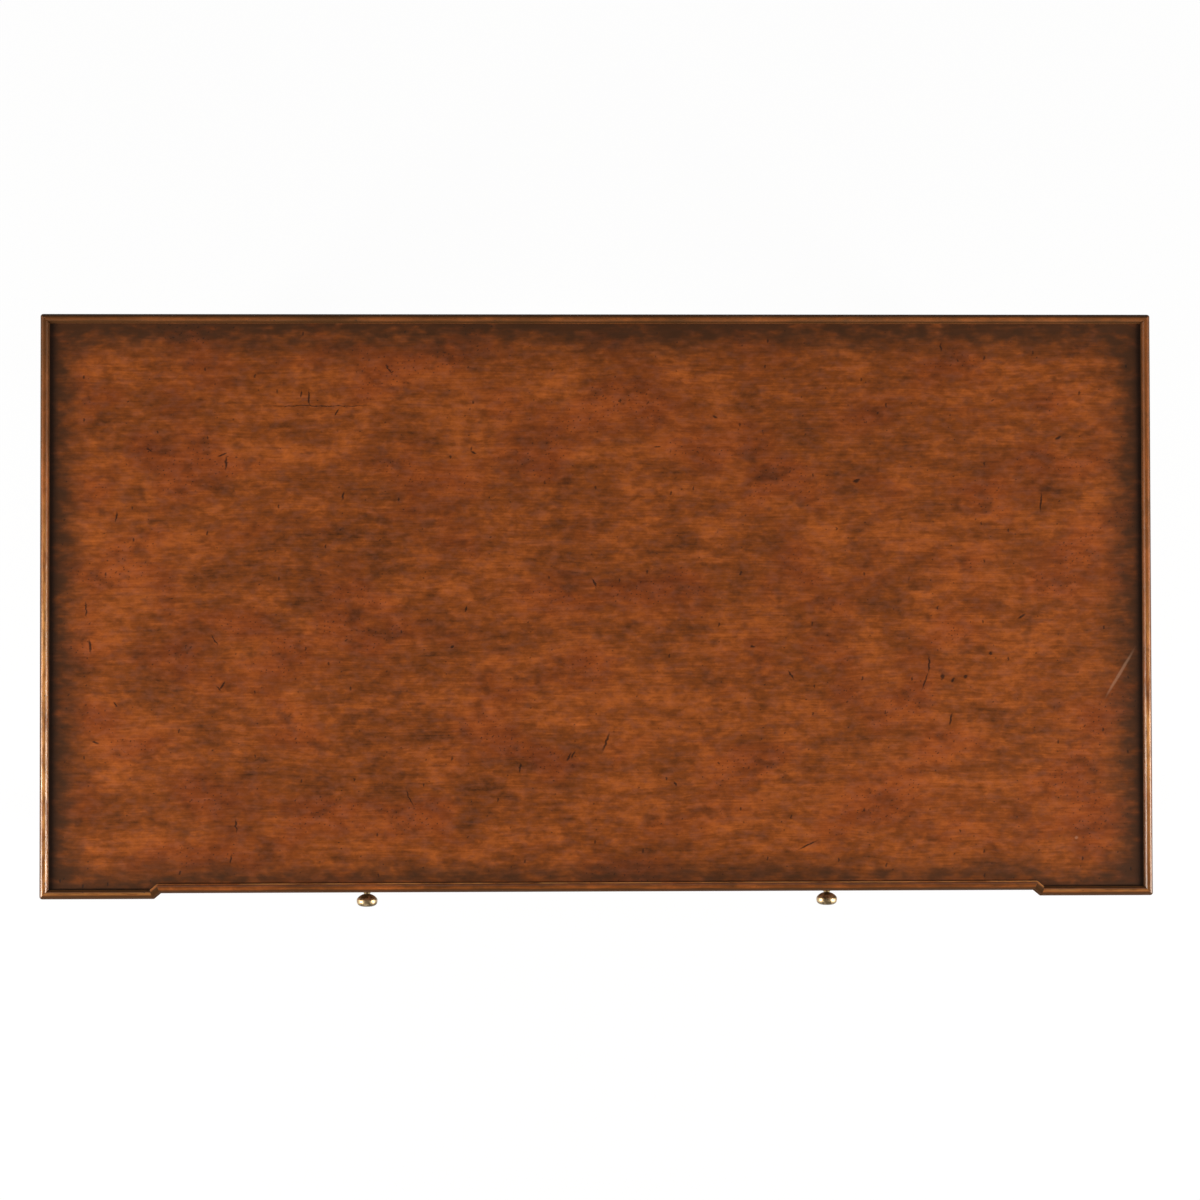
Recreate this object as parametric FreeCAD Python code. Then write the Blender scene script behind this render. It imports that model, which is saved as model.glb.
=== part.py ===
import FreeCAD, Part
import math
import os

from FreeCAD import Vector

# Writing table with a moulded tray edge, a stepped front, one long drawer and four square tapering legs.
# Lengths are millimetres. +Z is up, +X is to the sitter's right and -Y is towards the sitter.
# The origin is on the floor, under the middle of the whole table with its knobs.

# Overall sizes
top_width = 1372.0
top_depth = 720.0
top_height = 762.0
top_overhang = 9.5
frieze_height = 116.0

# Stepped front: an end block stands forward of the middle at each side, with a canted return
block_width = 140.0
block_step = 7.0
cant_width = 8.5
block_thickness = 27.0
block_tongue_length = 8.0
block_tongue_thickness = 8.0

# Top panel, and the tongue that holds the moulded edge round it
panel_thickness = 18.0
panel_tongue_length = 5.0
panel_tongue_thickness = 6.0

# Moulded edge, from the nosing at the outside over the round bead to the fine fillet at the inside
edge_height = 24.0
edge_shoulder_width = 1.6
edge_bead_width = 9.0
edge_bead_rise = 3.4
edge_fillet_width = 1.4
nosing_drop = 7.0
nosing_bulge = 0.8
edge_foot_height = 5.0
edge_foot_inset = 2.2

# Legs, from the post in the frieze down to the spade foot and its glide
post_size = 60.0
neck_height = 8.0
knee_size = 50.0
ankle_size = 32.0
ankle_slope_height = 8.0
foot_height = 92.0
foot_top_size = 44.0
foot_bottom_size = 34.0
glide_diameter = 22.0
glide_height = 5.0
glide_bevel = 1.5
glide_nail_diameter = 3.0
glide_nail_length = 18.0

# Aprons, rails and their joints
apron_thickness = 20.0
apron_setback = 3.0
tenon_length = 24.0
tenon_thickness = 8.0
tenon_shoulder = 18.0
lower_bead_height = 5.0
lower_bead_depth = 18.0
lower_bead_projection = 1.8
peg_diameter = 6.0
peg_length = 28.0
peg_spread = 50.0
rail_thickness = 18.0
rail_tenon_thickness = 9.0
rail_tenon_shoulder = 5.0
rail_dovetail_thickness = 10.0
rail_dovetail_root = 16.0
rail_dovetail_tip = 22.0
stub_length = 6.0
stub_width = 10.0
stub_thickness = 8.0

# Runners, kickers, guides and stops that carry the drawer
runner_width = 50.0
runner_bearing = 30.0
bearer_shoulder = 6.0
guide_width = 18.0
guide_height = 14.0
stop_width = 45.0
stop_depth = 24.0
stop_thickness = 5.0
stop_place_share = 0.55

# Drawer
drawer_back_gap = 111.0
drawer_front_thickness = 20.0
drawer_side_thickness = 12.0
drawer_back_thickness = 12.0
drawer_bottom_thickness = 6.0
drawer_end_gap = 1.5
drawer_edge_gap = 1.0
drawer_running_gap = 0.3
drawer_side_drop = 4.0
drawer_back_drop = 6.0
bottom_groove_height = 9.0
bottom_groove_depth = 5.0
muntin_width = 44.0
muntin_rise = 3.0
dovetail_lap = 9.0
tail_count = 3
tail_root_share = 0.3
tail_splay = 1.5
cock_bead_thickness = 3.0
cock_bead_depth = 9.0
cock_bead_projection = 1.5

# Knobs
knob_spacing = 578.0
knob_projection = 33.0
knob_head_diameter = 26.0
knob_head_thickness = 16.6
knob_neck_diameter = 11.0
knob_rose_diameter = 20.0
knob_rose_thickness = 2.5
knob_bore_depth = 13.0

# Wooden buttons that hold the top down
button_length = 30.0
button_reach = 35.0
button_thickness = 14.0
button_tongue_length = 8.0
button_tongue_thickness = 8.0
back_button_shares = (-0.7, -0.35, 0.35, 0.7)
side_button_shares = (0.3, 0.7)

# Screws
wood_screw_diameter = 4.0
wood_screw_head_diameter = 8.0
wood_screw_head_height = 2.4
wood_screw_point_diameter = 0.2
wood_screw_point_length = 4.0
button_screw_length = 24.0
rail_screw_length = 29.0
rail_screw_shares = (-0.75, -0.25, 0.25, 0.75)
bottom_screw_length = 20.0
bottom_screw_shares = (0.35, 0.75)
knob_screw_diameter = 4.0
knob_screw_head_diameter = 9.0
knob_screw_head_height = 2.5
screw_slot_width = 1.0
screw_slot_depth = 1.0

# Clearances
joint_clearance = 0.2
hole_clearance = 0.1
overrun = 24.0

# Levels
frieze_top = top_height - edge_height
frieze_bottom = frieze_top - frieze_height
frieze_middle = (frieze_top + frieze_bottom) / 2
frieze_low = frieze_bottom - lower_bead_height
opening_low = frieze_bottom + rail_thickness
opening_high = frieze_top - rail_thickness
top_rail_low = opening_high

# Plan of the top
edge_width = edge_shoulder_width + edge_bead_width + edge_fillet_width
half_width = top_width / 2
knob_reach = max(knob_projection - top_overhang - block_step, 0)
back_edge = (top_depth + knob_reach) / 2
block_edge = back_edge - top_depth
recess_edge = block_edge + block_step
block_inner = half_width - block_width
recess_end = block_inner - cant_width
outline = [
    (-half_width, block_edge),
    (-block_inner, block_edge),
    (-recess_end, recess_edge),
    (recess_end, recess_edge),
    (block_inner, block_edge),
    (half_width, block_edge),
    (half_width, back_edge),
    (-half_width, back_edge),
]
edge_names = (
    "edge_block_left",
    "edge_cant_left",
    "edge_front",
    "edge_cant_right",
    "edge_block_right",
    "edge_right",
    "edge_back",
    "edge_left",
)


def along(a, b):
    """Unit direction from plan point a to plan point b."""
    length = math.hypot(b[0] - a[0], b[1] - a[1])
    return (b[0] - a[0]) / length, (b[1] - a[1]) / length


def inward(a, b):
    """Unit normal on the inner side of the edge a to b of an outline that runs anticlockwise."""
    x, y = along(a, b)
    return -y, x


def inset(points, distance):
    """Outline moved inwards by a distance, corner by corner along its mitres."""
    moved = []
    for index, point in enumerate(points):
        before = inward(points[index - 1], point)
        after = inward(point, points[(index + 1) % len(points)])
        share = distance / (1 + before[0] * after[0] + before[1] * after[1])
        moved.append((point[0] + share * (before[0] + after[0]), point[1] + share * (before[1] + after[1])))
    return moved


# Plan of the frieze, under the top
frieze = inset(outline, top_overhang)
opening_half, frieze_recess = frieze[3]
block_corner, frieze_front = frieze[4]
frieze_side, frieze_back = frieze[6]
block_rear = frieze_front + block_thickness
leg_inner = frieze_side - post_size
leg_rear = frieze_front + post_size
back_leg_face = frieze_back - post_size
apron_inner_x = frieze_side - apron_setback - apron_thickness
apron_inner_y = frieze_back - apron_setback - apron_thickness

# Places in the drawer
drawer_half = opening_half - drawer_end_gap
drawer_low = opening_low + drawer_running_gap
front_low = opening_low + drawer_edge_gap
front_high = opening_high - drawer_edge_gap
side_high = opening_high - drawer_side_drop
front_inner = frieze_recess + drawer_front_thickness
drawer_end = apron_inner_y - drawer_back_gap
back_inner = drawer_end - drawer_back_thickness
side_inner = drawer_half - drawer_side_thickness
bottom_low = drawer_low + bottom_groove_height
bottom_high = bottom_low + drawer_bottom_thickness
back_high = side_high - drawer_back_drop
knob_level = (front_low + front_high) / 2
knob_places = {"knob_left": -knob_spacing / 2, "knob_right": knob_spacing / 2}


to_back = Vector(0, 1, 0)


def box(bounds):
    """Box from three pairs of limits, in x, y and z, in either order."""
    low = Vector(*(min(pair) for pair in bounds))
    size = [max(pair) - min(pair) for pair in bounds]
    return Part.makeBox(*size, low)


def grown(bounds, by):
    """Limits of a box moved outwards on every side."""
    return tuple((min(pair) - by, max(pair) + by) for pair in bounds)


def around(middle, size):
    """Pair of limits of a size about its middle."""
    return middle - size / 2, middle + size / 2


def ring(points):
    """Closed wire through points in space."""
    return Part.makePolygon([Vector(*p) for p in points] + [Vector(*points[0])])


def prism(points, low, high):
    """Solid between two levels over an outline in plan."""
    face = Part.Face(ring([(x, y, low) for x, y in points]))
    return face.extrude(Vector(0, 0, high - low))


def mirrored(shape):
    """The left-hand twin of a right-hand piece."""
    return shape.mirror(Vector(0, 0, 0), Vector(1, 0, 0))


def joined(pieces):
    """One solid from touching pieces, with its flat faces whole."""
    whole = pieces[0].fuse(pieces[1:])
    return whole.removeSplitter()


def line(a, b):
    """Straight edge between two points in space."""
    return Part.LineSegment(a, b).toShape()


def arc(a, through, b):
    """Round edge from a to b through a point between them."""
    return Part.Arc(a, through, b).toShape()


# Joints, as the limits of the part that enters. What receives it is cut by them, grown by a clearance.


def side_tenon(side, end):
    """Tenon of a side apron in its front (end -1) or back (end 1) leg."""
    outer = frieze_side - apron_setback - (apron_thickness - tenon_thickness) / 2
    root = leg_rear if end < 0 else back_leg_face
    levels = (frieze_bottom + tenon_shoulder, frieze_top - tenon_shoulder)
    return (side * (outer - tenon_thickness), side * outer), (root, root + end * tenon_length), levels


def back_tenon(side):
    """Tenon of the back apron in a back leg."""
    outer = frieze_back - apron_setback - (apron_thickness - tenon_thickness) / 2
    levels = (frieze_bottom + tenon_shoulder, frieze_top - tenon_shoulder)
    return (side * leg_inner, side * (leg_inner + tenon_length)), (outer - tenon_thickness, outer), levels


def rail_tenon(side):
    """Tenon of the bottom rail in a front leg, behind the end block."""
    depth = (block_rear + rail_tenon_shoulder, leg_rear - rail_tenon_shoulder)
    levels = around(frieze_bottom + rail_thickness / 2, rail_tenon_thickness)
    return (side * leg_inner, side * (leg_inner + tenon_length)), depth, levels


def rail_dovetail(side, clearance):
    """Dovetail of the top rail, let into the top of a front leg."""
    middle = (block_rear + leg_rear) / 2
    root = rail_dovetail_root / 2 + clearance
    tip = rail_dovetail_tip / 2 + clearance
    start = side * (leg_inner - clearance)
    end = side * (leg_inner + tenon_length + clearance)
    plan = [(start, middle - root), (end, middle - tip), (end, middle + tip), (start, middle + root)]
    return prism(plan, frieze_top - rail_dovetail_thickness - clearance, frieze_top + clearance)


def rail_stub(side, low):
    """Stub of a rail in the inner face of an end block."""
    depth = around((frieze_recess + block_rear) / 2, stub_width)
    levels = around(low + rail_thickness / 2, stub_thickness)
    return (side * opening_half, side * (opening_half + stub_length)), depth, levels


def block_tongue(side):
    """Tongue of an end block in its front leg."""
    depth = around((frieze_front + block_rear) / 2, block_tongue_thickness)
    levels = (frieze_bottom + tenon_shoulder, frieze_top - tenon_shoulder)
    return (side * leg_inner, side * (leg_inner + block_tongue_length)), depth, levels


def bearer_stub(place, low, end):
    """Stub of a runner or kicker in the rail at its front (end -1) or the back apron (end 1)."""
    root = leg_rear if end < 0 else apron_inner_y
    width = (min(place) + bearer_shoulder, max(place) - bearer_shoulder)
    levels = around(low + rail_thickness / 2, stub_thickness)
    return width, (root, root + end * stub_length), levels


def button_tongue(place, side):
    """Tongue of a button in the back apron (side 0) or in a side apron."""
    levels = (frieze_top - button_thickness, frieze_top - button_thickness + button_tongue_thickness)
    if side == 0:
        return around(place, button_length), (apron_inner_y, apron_inner_y + button_tongue_length), levels
    reach = (side * apron_inner_x, side * (apron_inner_x + button_tongue_length))
    return reach, around(place, button_length), levels


# Places that repeat
outer_place = (opening_half - runner_bearing, opening_half - runner_bearing + runner_width)
left_place = tuple(-x for x in outer_place)
centre_place = around(0, runner_width)
bearers = {
    "runner_left": (left_place, frieze_bottom),
    "runner_right": (outer_place, frieze_bottom),
    "centre_runner": (centre_place, frieze_bottom),
    "kicker_left": (left_place, top_rail_low),
    "kicker_right": (outer_place, top_rail_low),
    "centre_kicker": (centre_place, top_rail_low),
}
buttons = [(share * opening_half, 0) for share in back_button_shares]
for share in side_button_shares:
    along_side = leg_rear + share * (back_leg_face - leg_rear)
    buttons += [(along_side, -1), (along_side, 1)]


def button_screw_place(place, side):
    """Plan point of the screw in a button."""
    inner = button_reach / 2
    return (place, apron_inner_y - inner) if side == 0 else (side * (apron_inner_x - inner), place)


rail_screw_places = [(share * opening_half, (frieze_recess + leg_rear) / 2) for share in rail_screw_shares]
panel_screw_places = [button_screw_place(*button) for button in buttons] + rail_screw_places
bottom_screw_places = [
    (side * (muntin_width / 2 + share * (side_inner - muntin_width / 2)), (back_inner + drawer_end) / 2)
    for side in (-1, 1)
    for share in bottom_screw_shares
]


def drill(x, y, low, high, diameter):
    """Upright round hole between two levels."""
    return Part.makeCylinder(diameter / 2, high - low, Vector(x, y, low))


def pilots(places, low, high):
    """Clearance holes for wood screws that stand upright at plan points."""
    return [drill(x, y, low, high, wood_screw_diameter + 2 * hole_clearance) for x, y in places]


def countersinks(places, low):
    """Cone-shaped seats of wood screw heads whose faces lie at a level and point down."""
    head = wood_screw_head_diameter / 2 + hole_clearance
    shank = wood_screw_diameter / 2 + hole_clearance
    return [Part.makeCone(head, shank, wood_screw_head_height, Vector(x, y, low)) for x, y in places]


def wood_screw(x, y, low, length):
    """Countersunk screw that points up, with a slot across its head."""
    head = Part.makeCone(wood_screw_head_diameter / 2, wood_screw_diameter / 2, wood_screw_head_height)
    straight = length - wood_screw_point_length
    shank = Part.makeCylinder(wood_screw_diameter / 2, straight)
    tip = wood_screw_point_diameter / 2
    point = Part.makeCone(wood_screw_diameter / 2, tip, wood_screw_point_length, Vector(0, 0, straight))
    slot = box((around(0, screw_slot_width), around(0, 2 * wood_screw_head_diameter), (0, screw_slot_depth)))
    screw = joined([head, shank, point]).cut(slot)
    screw.translate(Vector(x, y, low))
    return screw


# Top


def edge_profile(place):
    """Edges of the moulding's section. place turns a distance from the outside and a height into a point."""
    nosing_top = edge_height - nosing_drop
    bead_low = edge_height - edge_bead_rise
    bead_end = edge_shoulder_width + edge_bead_width
    groove_end = edge_width - panel_tongue_length
    groove_low, groove_high = around(panel_thickness / 2, panel_tongue_thickness)
    nosing_low = place(nosing_bulge, edge_foot_height)
    nosing_high = place(nosing_bulge, nosing_top)
    corners = [
        nosing_high,
        place(edge_shoulder_width, nosing_top),
        place(edge_shoulder_width, bead_low),
        place(bead_end, bead_low),
        place(edge_width, bead_low),
        place(edge_width, groove_high),
        place(groove_end, groove_high),
        place(groove_end, groove_low),
        place(edge_width, groove_low),
        place(edge_width, 0),
        place(edge_foot_inset, 0),
        place(edge_foot_inset, edge_foot_height),
        nosing_low,
    ]
    runs = [line(a, b) for a, b in zip(corners, corners[1:])]
    runs[2] = arc(corners[2], place((edge_shoulder_width + bead_end) / 2, edge_height), corners[3])
    runs.append(arc(nosing_low, place(0, (nosing_top + edge_foot_height) / 2), nosing_high))
    return runs


def edge_piece(index):
    """One length of the moulded edge, mitred at both ends."""
    start = outline[index]
    end = outline[(index + 1) % len(outline)]
    ahead = along(start, end)
    side = inward(start, end)

    def place(distance, height):
        x = start[0] - overrun * ahead[0] + distance * side[0]
        y = start[1] - overrun * ahead[1] + distance * side[1]
        return Vector(x, y, frieze_top + height)

    length = math.dist(start, end) + 2 * overrun
    face = Part.Face(Part.Wire(edge_profile(place)))
    run = face.extrude(Vector(length * ahead[0], length * ahead[1], 0))
    outside = inset(outline, -edge_width)
    inside = inset(outline, 2 * edge_width)
    after = (index + 1) % len(outline)
    mitres = prism([outside[index], outside[after], inside[after], inside[index]], frieze_top, top_height)
    return run.common(mitres)


def top_panel():
    """Flat panel with a tongue all round and screw holes from below."""
    board = prism(inset(outline, edge_width), frieze_top, frieze_top + panel_thickness)
    reach = edge_width - panel_tongue_length + joint_clearance
    low, high = around(frieze_top + panel_thickness / 2, panel_tongue_thickness - 2 * joint_clearance)
    tongue = prism(inset(outline, reach), low, high)
    depth = max(button_screw_length - button_thickness, rail_screw_length - rail_thickness) + hole_clearance
    holes = pilots(panel_screw_places, frieze_top, frieze_top + depth)
    return joined([board, tongue]).cut(holes)


# Frame


def leg(side, end):
    """Leg at one corner, front (end -1) or back (end 1), with the sockets of its joints."""
    x = side * (frieze_side - post_size / 2)
    y = frieze_front + post_size / 2 if end < 0 else frieze_back - post_size / 2
    sections = [
        (glide_height, foot_bottom_size),
        (foot_height, foot_top_size),
        (foot_height + ankle_slope_height, ankle_size),
        (frieze_low - neck_height, knee_size),
        (frieze_low, post_size),
        (frieze_top, post_size),
    ]
    wires = []
    for level, size in sections:
        left, right = around(x, size)
        front, back = around(y, size)
        corners = [(left, front), (right, front), (right, back), (left, back)]
        wires.append(ring([(*corner, level) for corner in corners]))
    body = Part.makeLoft(wires, True, True)
    sockets = [grown(side_tenon(side, end), joint_clearance)]
    if end < 0:
        sockets.append(grown(rail_tenon(side), joint_clearance))
        sockets.append(grown(block_tongue(side), joint_clearance))
    else:
        sockets.append(grown(back_tenon(side), joint_clearance))
    cuts = [box(bounds) for bounds in sockets] + side_pegs(side, end, hole_clearance)
    cuts.append(drill(x, y, 0, glide_height + glide_nail_length, glide_nail_diameter + 2 * hole_clearance))
    cuts += [rail_dovetail(side, joint_clearance)] if end < 0 else back_pegs(side, hole_clearance)
    return body.cut(cuts)


def pegs(tenon, axis, start, clearance):
    """Two pegs through a tenon, from the outer face of its leg, which lies at start on an axis."""
    middle = [sum(pair) / 2 for pair in tenon]
    middle[axis] = start
    way = Vector(0, 0, 0)
    way[axis] = -math.copysign(1, start)
    made = []
    for level in around(frieze_middle, peg_spread):
        middle[2] = level
        made.append(Part.makeCylinder(peg_diameter / 2 + clearance, peg_length, Vector(*middle), way))
    return made


def side_pegs(side, end, clearance):
    """Pegs of a side apron's tenon, from the outer side of its leg."""
    return pegs(side_tenon(side, end), 0, side * frieze_side, clearance)


def back_pegs(side, clearance):
    """Pegs of the back apron's tenon, from the back of its leg."""
    return pegs(back_tenon(side), 1, frieze_back, clearance)


def side_apron(side):
    """Apron between the front and back legs of one end."""
    board = box(((side * apron_inner_x, side * (apron_inner_x + apron_thickness)),
                 (leg_rear, back_leg_face), (frieze_bottom, frieze_top)))
    tenons = [box(side_tenon(side, end)) for end in (-1, 1)]
    holes = [hole for end in (-1, 1) for hole in side_pegs(side, end, hole_clearance)]
    slots = [box(grown(button_tongue(place, at), joint_clearance)) for place, at in buttons if at == side]
    return joined([board] + tenons).cut(holes + slots)


def back_apron():
    """Apron between the back legs, with the sockets of runners, kickers and buttons."""
    board = box(((-leg_inner, leg_inner), (apron_inner_y, apron_inner_y + apron_thickness),
                 (frieze_bottom, frieze_top)))
    tenons = [box(back_tenon(side)) for side in (-1, 1)]
    holes = [hole for side in (-1, 1) for hole in back_pegs(side, hole_clearance)]
    slots = [box(grown(button_tongue(place, at), joint_clearance)) for place, at in buttons if at == 0]
    slots += [box(grown(bearer_stub(place, low, 1), joint_clearance)) for place, low in bearers.values()]
    return joined([board] + tenons).cut(holes + slots)


def front_block():
    """Right-hand end block of the frieze, with its canted return and its tongue in the leg."""
    plan = [(opening_half, frieze_recess), (block_corner, frieze_front), (leg_inner, frieze_front),
            (leg_inner, block_rear), (opening_half, block_rear)]
    body = joined([prism(plan, frieze_low, frieze_top), box(block_tongue(1))])
    return body.cut([box(grown(rail_stub(1, low), joint_clearance)) for low in (frieze_bottom, top_rail_low)])


def rail(low):
    """Front rail from leg to leg, notched round the end blocks, with stubs in the blocks and sockets behind."""
    right = [(opening_half, frieze_recess), (opening_half, block_rear)]
    right += [(leg_inner, block_rear), (leg_inner, leg_rear)]
    plan = right + [(-x, y) for x, y in reversed(right)]
    stubs = [box(rail_stub(side, low)) for side in (-1, 1)]
    carried = [place for place, at in bearers.values() if at == low]
    sockets = [box(grown(bearer_stub(place, low, -1), joint_clearance)) for place in carried]
    return joined([prism(plan, low, low + rail_thickness)] + stubs).cut(sockets)


def front_bottom_rail():
    """Rail under the drawer, tenoned into the front legs."""
    return joined([rail(frieze_bottom)] + [box(rail_tenon(side)) for side in (-1, 1)])


def front_top_rail():
    """Rail over the drawer, dovetailed into the tops of the front legs and drilled for its screws."""
    ends = [rail_dovetail(side, 0) for side in (-1, 1)]
    holes = pilots(rail_screw_places, top_rail_low, frieze_top)
    return joined([rail(top_rail_low)] + ends).cut(holes + countersinks(rail_screw_places, top_rail_low))


def bearer(place, low):
    """Runner or kicker from the front rail to the back apron."""
    bar = box((place, (leg_rear, apron_inner_y), (low, low + rail_thickness)))
    return joined([bar] + [box(bearer_stub(place, low, end)) for end in (-1, 1)])


def bead_run(start, length, out):
    """Length of the lower bead from a plan point on the face above it. length and out are vectors in plan."""
    nose = lower_bead_height / 2
    depth = Vector(*out) * -lower_bead_depth
    forward = Vector(*out) * (lower_bead_projection - nose)
    tip = Vector(*out) * lower_bead_projection
    low = Vector(*start, frieze_low)
    up = Vector(0, 0, lower_bead_height)
    edges = [
        line(low + depth, low + forward),
        arc(low + forward, low + tip + up / 2, low + forward + up),
        line(low + forward + up, low + depth + up),
        line(low + depth + up, low + depth),
    ]
    return Part.Face(Part.Wire(edges)).extrude(Vector(*length))


def lower_beads():
    """Round-nosed strips under the aprons and the front rail. The front one is cut to the canted end blocks."""
    face_x = apron_inner_x + apron_thickness
    face_y = apron_inner_y + apron_thickness
    side_length = (0, back_leg_face - leg_rear, 0)
    beads = {
        "lower_bead_left": bead_run((-face_x, leg_rear), side_length, (-1, 0, 0)),
        "lower_bead_right": bead_run((face_x, leg_rear), side_length, (1, 0, 0)),
        "lower_bead_back": bead_run((-leg_inner, face_y), (2 * leg_inner, 0, 0), (0, 1, 0)),
    }
    run = bead_run((-block_corner, frieze_recess), (2 * block_corner, 0, 0), (0, -1, 0))
    right = [(block_corner, frieze_front), (opening_half, frieze_recess), (opening_half, block_rear)]
    plan = right + [(-x, y) for x, y in reversed(right)]
    beads["lower_bead_front"] = run.common(prism(plan, frieze_low - overrun, frieze_bottom + overrun))
    return beads


def guide():
    """Strip that keeps the right side of the drawer on its line."""
    return box(((opening_half, opening_half + guide_width), (block_rear, apron_inner_y),
                (opening_low, opening_low + guide_height)))


def drawer_stops():
    """Two small blocks on the bottom rail that stop the back of the drawer front."""
    start = front_inner + drawer_running_gap
    return [box((around(side * stop_place_share * opening_half, stop_width), (start, start + stop_depth),
                 (opening_low, opening_low + stop_thickness))) for side in (-1, 1)]


def top_button(place, side):
    """Button whose tongue sits in an apron and whose body is screwed up to the panel."""
    tongue = button_tongue(place, side)
    levels = (frieze_top - button_thickness, frieze_top)
    if side == 0:
        body = (around(place, button_length), (apron_inner_y - button_reach, apron_inner_y), levels)
    else:
        reach = (side * (apron_inner_x - button_reach), side * apron_inner_x)
        body = (reach, around(place, button_length), levels)
    here = [button_screw_place(place, side)]
    holes = pilots(here, levels[0], frieze_top) + countersinks(here, levels[0])
    return joined([box(body), box(tongue)]).cut(holes)


def foot_glide(x, y):
    """Round glide under a leg, with its nail."""
    radius = glide_diameter / 2
    rim = Part.makeCone(radius - glide_bevel, radius, glide_bevel)
    disc = Part.makeCylinder(radius, glide_height - glide_bevel, Vector(0, 0, glide_bevel))
    nail = Part.makeCylinder(glide_nail_diameter / 2, glide_nail_length, Vector(0, 0, glide_height))
    glide = joined([rim, disc, nail])
    glide.translate(Vector(x, y, 0))
    return glide


# Drawer


def tails(side, root, tip, low, high, growth):
    """Dovetails on the end of a drawer side, widening from root to tip along y."""
    pitch = (high - low) / tail_count
    width = (side * (side_inner - growth), side * (drawer_half + growth))
    way = math.copysign(1, tip - root)
    pieces = []
    for number in range(tail_count):
        level = low + (number + 0.5) * pitch
        narrow = tail_root_share * pitch + growth
        wide = tail_root_share * pitch + tail_splay + growth
        face = ring([
            (min(width), root - way * growth, level - narrow),
            (min(width), tip + way * growth, level - wide),
            (min(width), tip + way * growth, level + wide),
            (min(width), root - way * growth, level + narrow),
        ])
        pieces.append(Part.Face(face).extrude(Vector(max(width) - min(width), 0, 0)))
    return pieces


def front_tails(side, growth):
    """Lapped dovetails of a drawer side in the drawer front."""
    return tails(side, front_inner, frieze_recess + dovetail_lap, front_low, side_high, growth)


def back_tails(side, growth):
    """Through dovetails of a drawer side in the drawer back."""
    return tails(side, back_inner, drawer_end, bottom_high, back_high, growth)


def drawer_front():
    """Drawer front, rebated for its bead and grooved for the bottom."""
    depth = frieze_recess + cock_bead_depth - cock_bead_projection
    rear = box(((-drawer_half, drawer_half), (depth, front_inner), (front_low, front_high)))
    inner = drawer_half - cock_bead_thickness
    face = box(((-inner, inner), (frieze_recess, depth),
                (front_low + cock_bead_thickness, front_high - cock_bead_thickness)))
    groove = box(((-side_inner, side_inner), (front_inner - bottom_groove_depth, front_inner),
                  (bottom_low - joint_clearance, bottom_high + joint_clearance)))
    cuts = [groove]
    cuts += [tail for side in (-1, 1) for tail in front_tails(side, joint_clearance)]
    hole = knob_screw_diameter / 2 + hole_clearance
    for x in knob_places.values():
        start = Vector(x, frieze_recess, knob_level)
        cuts.append(Part.makeCylinder(hole, drawer_front_thickness, start, to_back))
    return joined([rear, face]).cut(cuts)


def drawer_side(side):
    """Drawer side with dovetails at both ends and a groove for the bottom."""
    width = (side * side_inner, side * drawer_half)
    board = box((width, (front_inner, drawer_end), (drawer_low, side_high)))
    pins = box((width, (back_inner, drawer_end), (bottom_high, back_high)))
    groove = box(((side * side_inner, side * (side_inner + bottom_groove_depth)), (front_inner, drawer_end),
                  (bottom_low - joint_clearance, bottom_high + joint_clearance)))
    return joined([board.cut([pins, groove])] + front_tails(side, 0) + back_tails(side, 0))


def drawer_back():
    """Drawer back, which stands on the bottom panels between the dovetails of the sides."""
    board = box(((-drawer_half, drawer_half), (back_inner, drawer_end), (bottom_high, back_high)))
    sockets = [tail for side in (-1, 1) for tail in back_tails(side, joint_clearance)]
    depth = bottom_screw_length - drawer_bottom_thickness + hole_clearance
    holes = pilots(bottom_screw_places, bottom_high, bottom_high + depth)
    return board.cut(sockets + holes)


def drawer_bottom(side):
    """One of the two bottom panels, in the grooves of front, side and muntin."""
    reach = bottom_groove_depth - joint_clearance
    start = side * (muntin_width / 2 - reach)
    levels = (bottom_low, bottom_high)
    board = box(((start, side * (side_inner + reach)), (front_inner, drawer_end), levels))
    tongue = box(((start, side * (side_inner - joint_clearance)), (front_inner - reach, front_inner), levels))
    here = [place for place in bottom_screw_places if place[0] * side > 0]
    return joined([board, tongue]).cut(pilots(here, bottom_low, bottom_high) + countersinks(here, bottom_low))


def drawer_muntin():
    """Middle bar of the bottom, grooved for both panels and lowered under the drawer back."""
    bar = box((around(0, muntin_width), (front_inner, drawer_end), (drawer_low, bottom_high + muntin_rise)))
    tongue_end = front_inner - bottom_groove_depth + joint_clearance
    tongue = box((around(0, muntin_width - 2 * bottom_groove_depth), (tongue_end, front_inner),
                  (bottom_low, bottom_high)))
    notch = box((around(0, muntin_width), (back_inner, drawer_end), (bottom_high, bottom_high + muntin_rise)))
    levels = (bottom_low - joint_clearance, bottom_high + joint_clearance)
    grooves = [
        box(((side * (muntin_width / 2 - bottom_groove_depth), side * muntin_width / 2),
             (front_inner, drawer_end), levels)) for side in (-1, 1)
    ]
    return joined([bar.cut([notch] + grooves), tongue])


def cock_beads():
    """Four beads round the drawer front, mitred at its corners."""
    outer = [(-drawer_half, front_low), (drawer_half, front_low)]
    outer += [(drawer_half, front_high), (-drawer_half, front_high)]
    inner = inset(outer, cock_bead_thickness)
    start = frieze_recess - cock_bead_projection
    beads = {}
    for index, place in enumerate(("bottom", "right", "top", "left")):
        name = "cock_bead_" + place
        after = (index + 1) % len(outer)
        corners = [outer[index], outer[after], inner[after], inner[index]]
        face = Part.Face(ring([(x, start, z) for x, z in corners]))
        beads[name] = face.extrude(Vector(0, cock_bead_depth, 0))
    return beads


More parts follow.
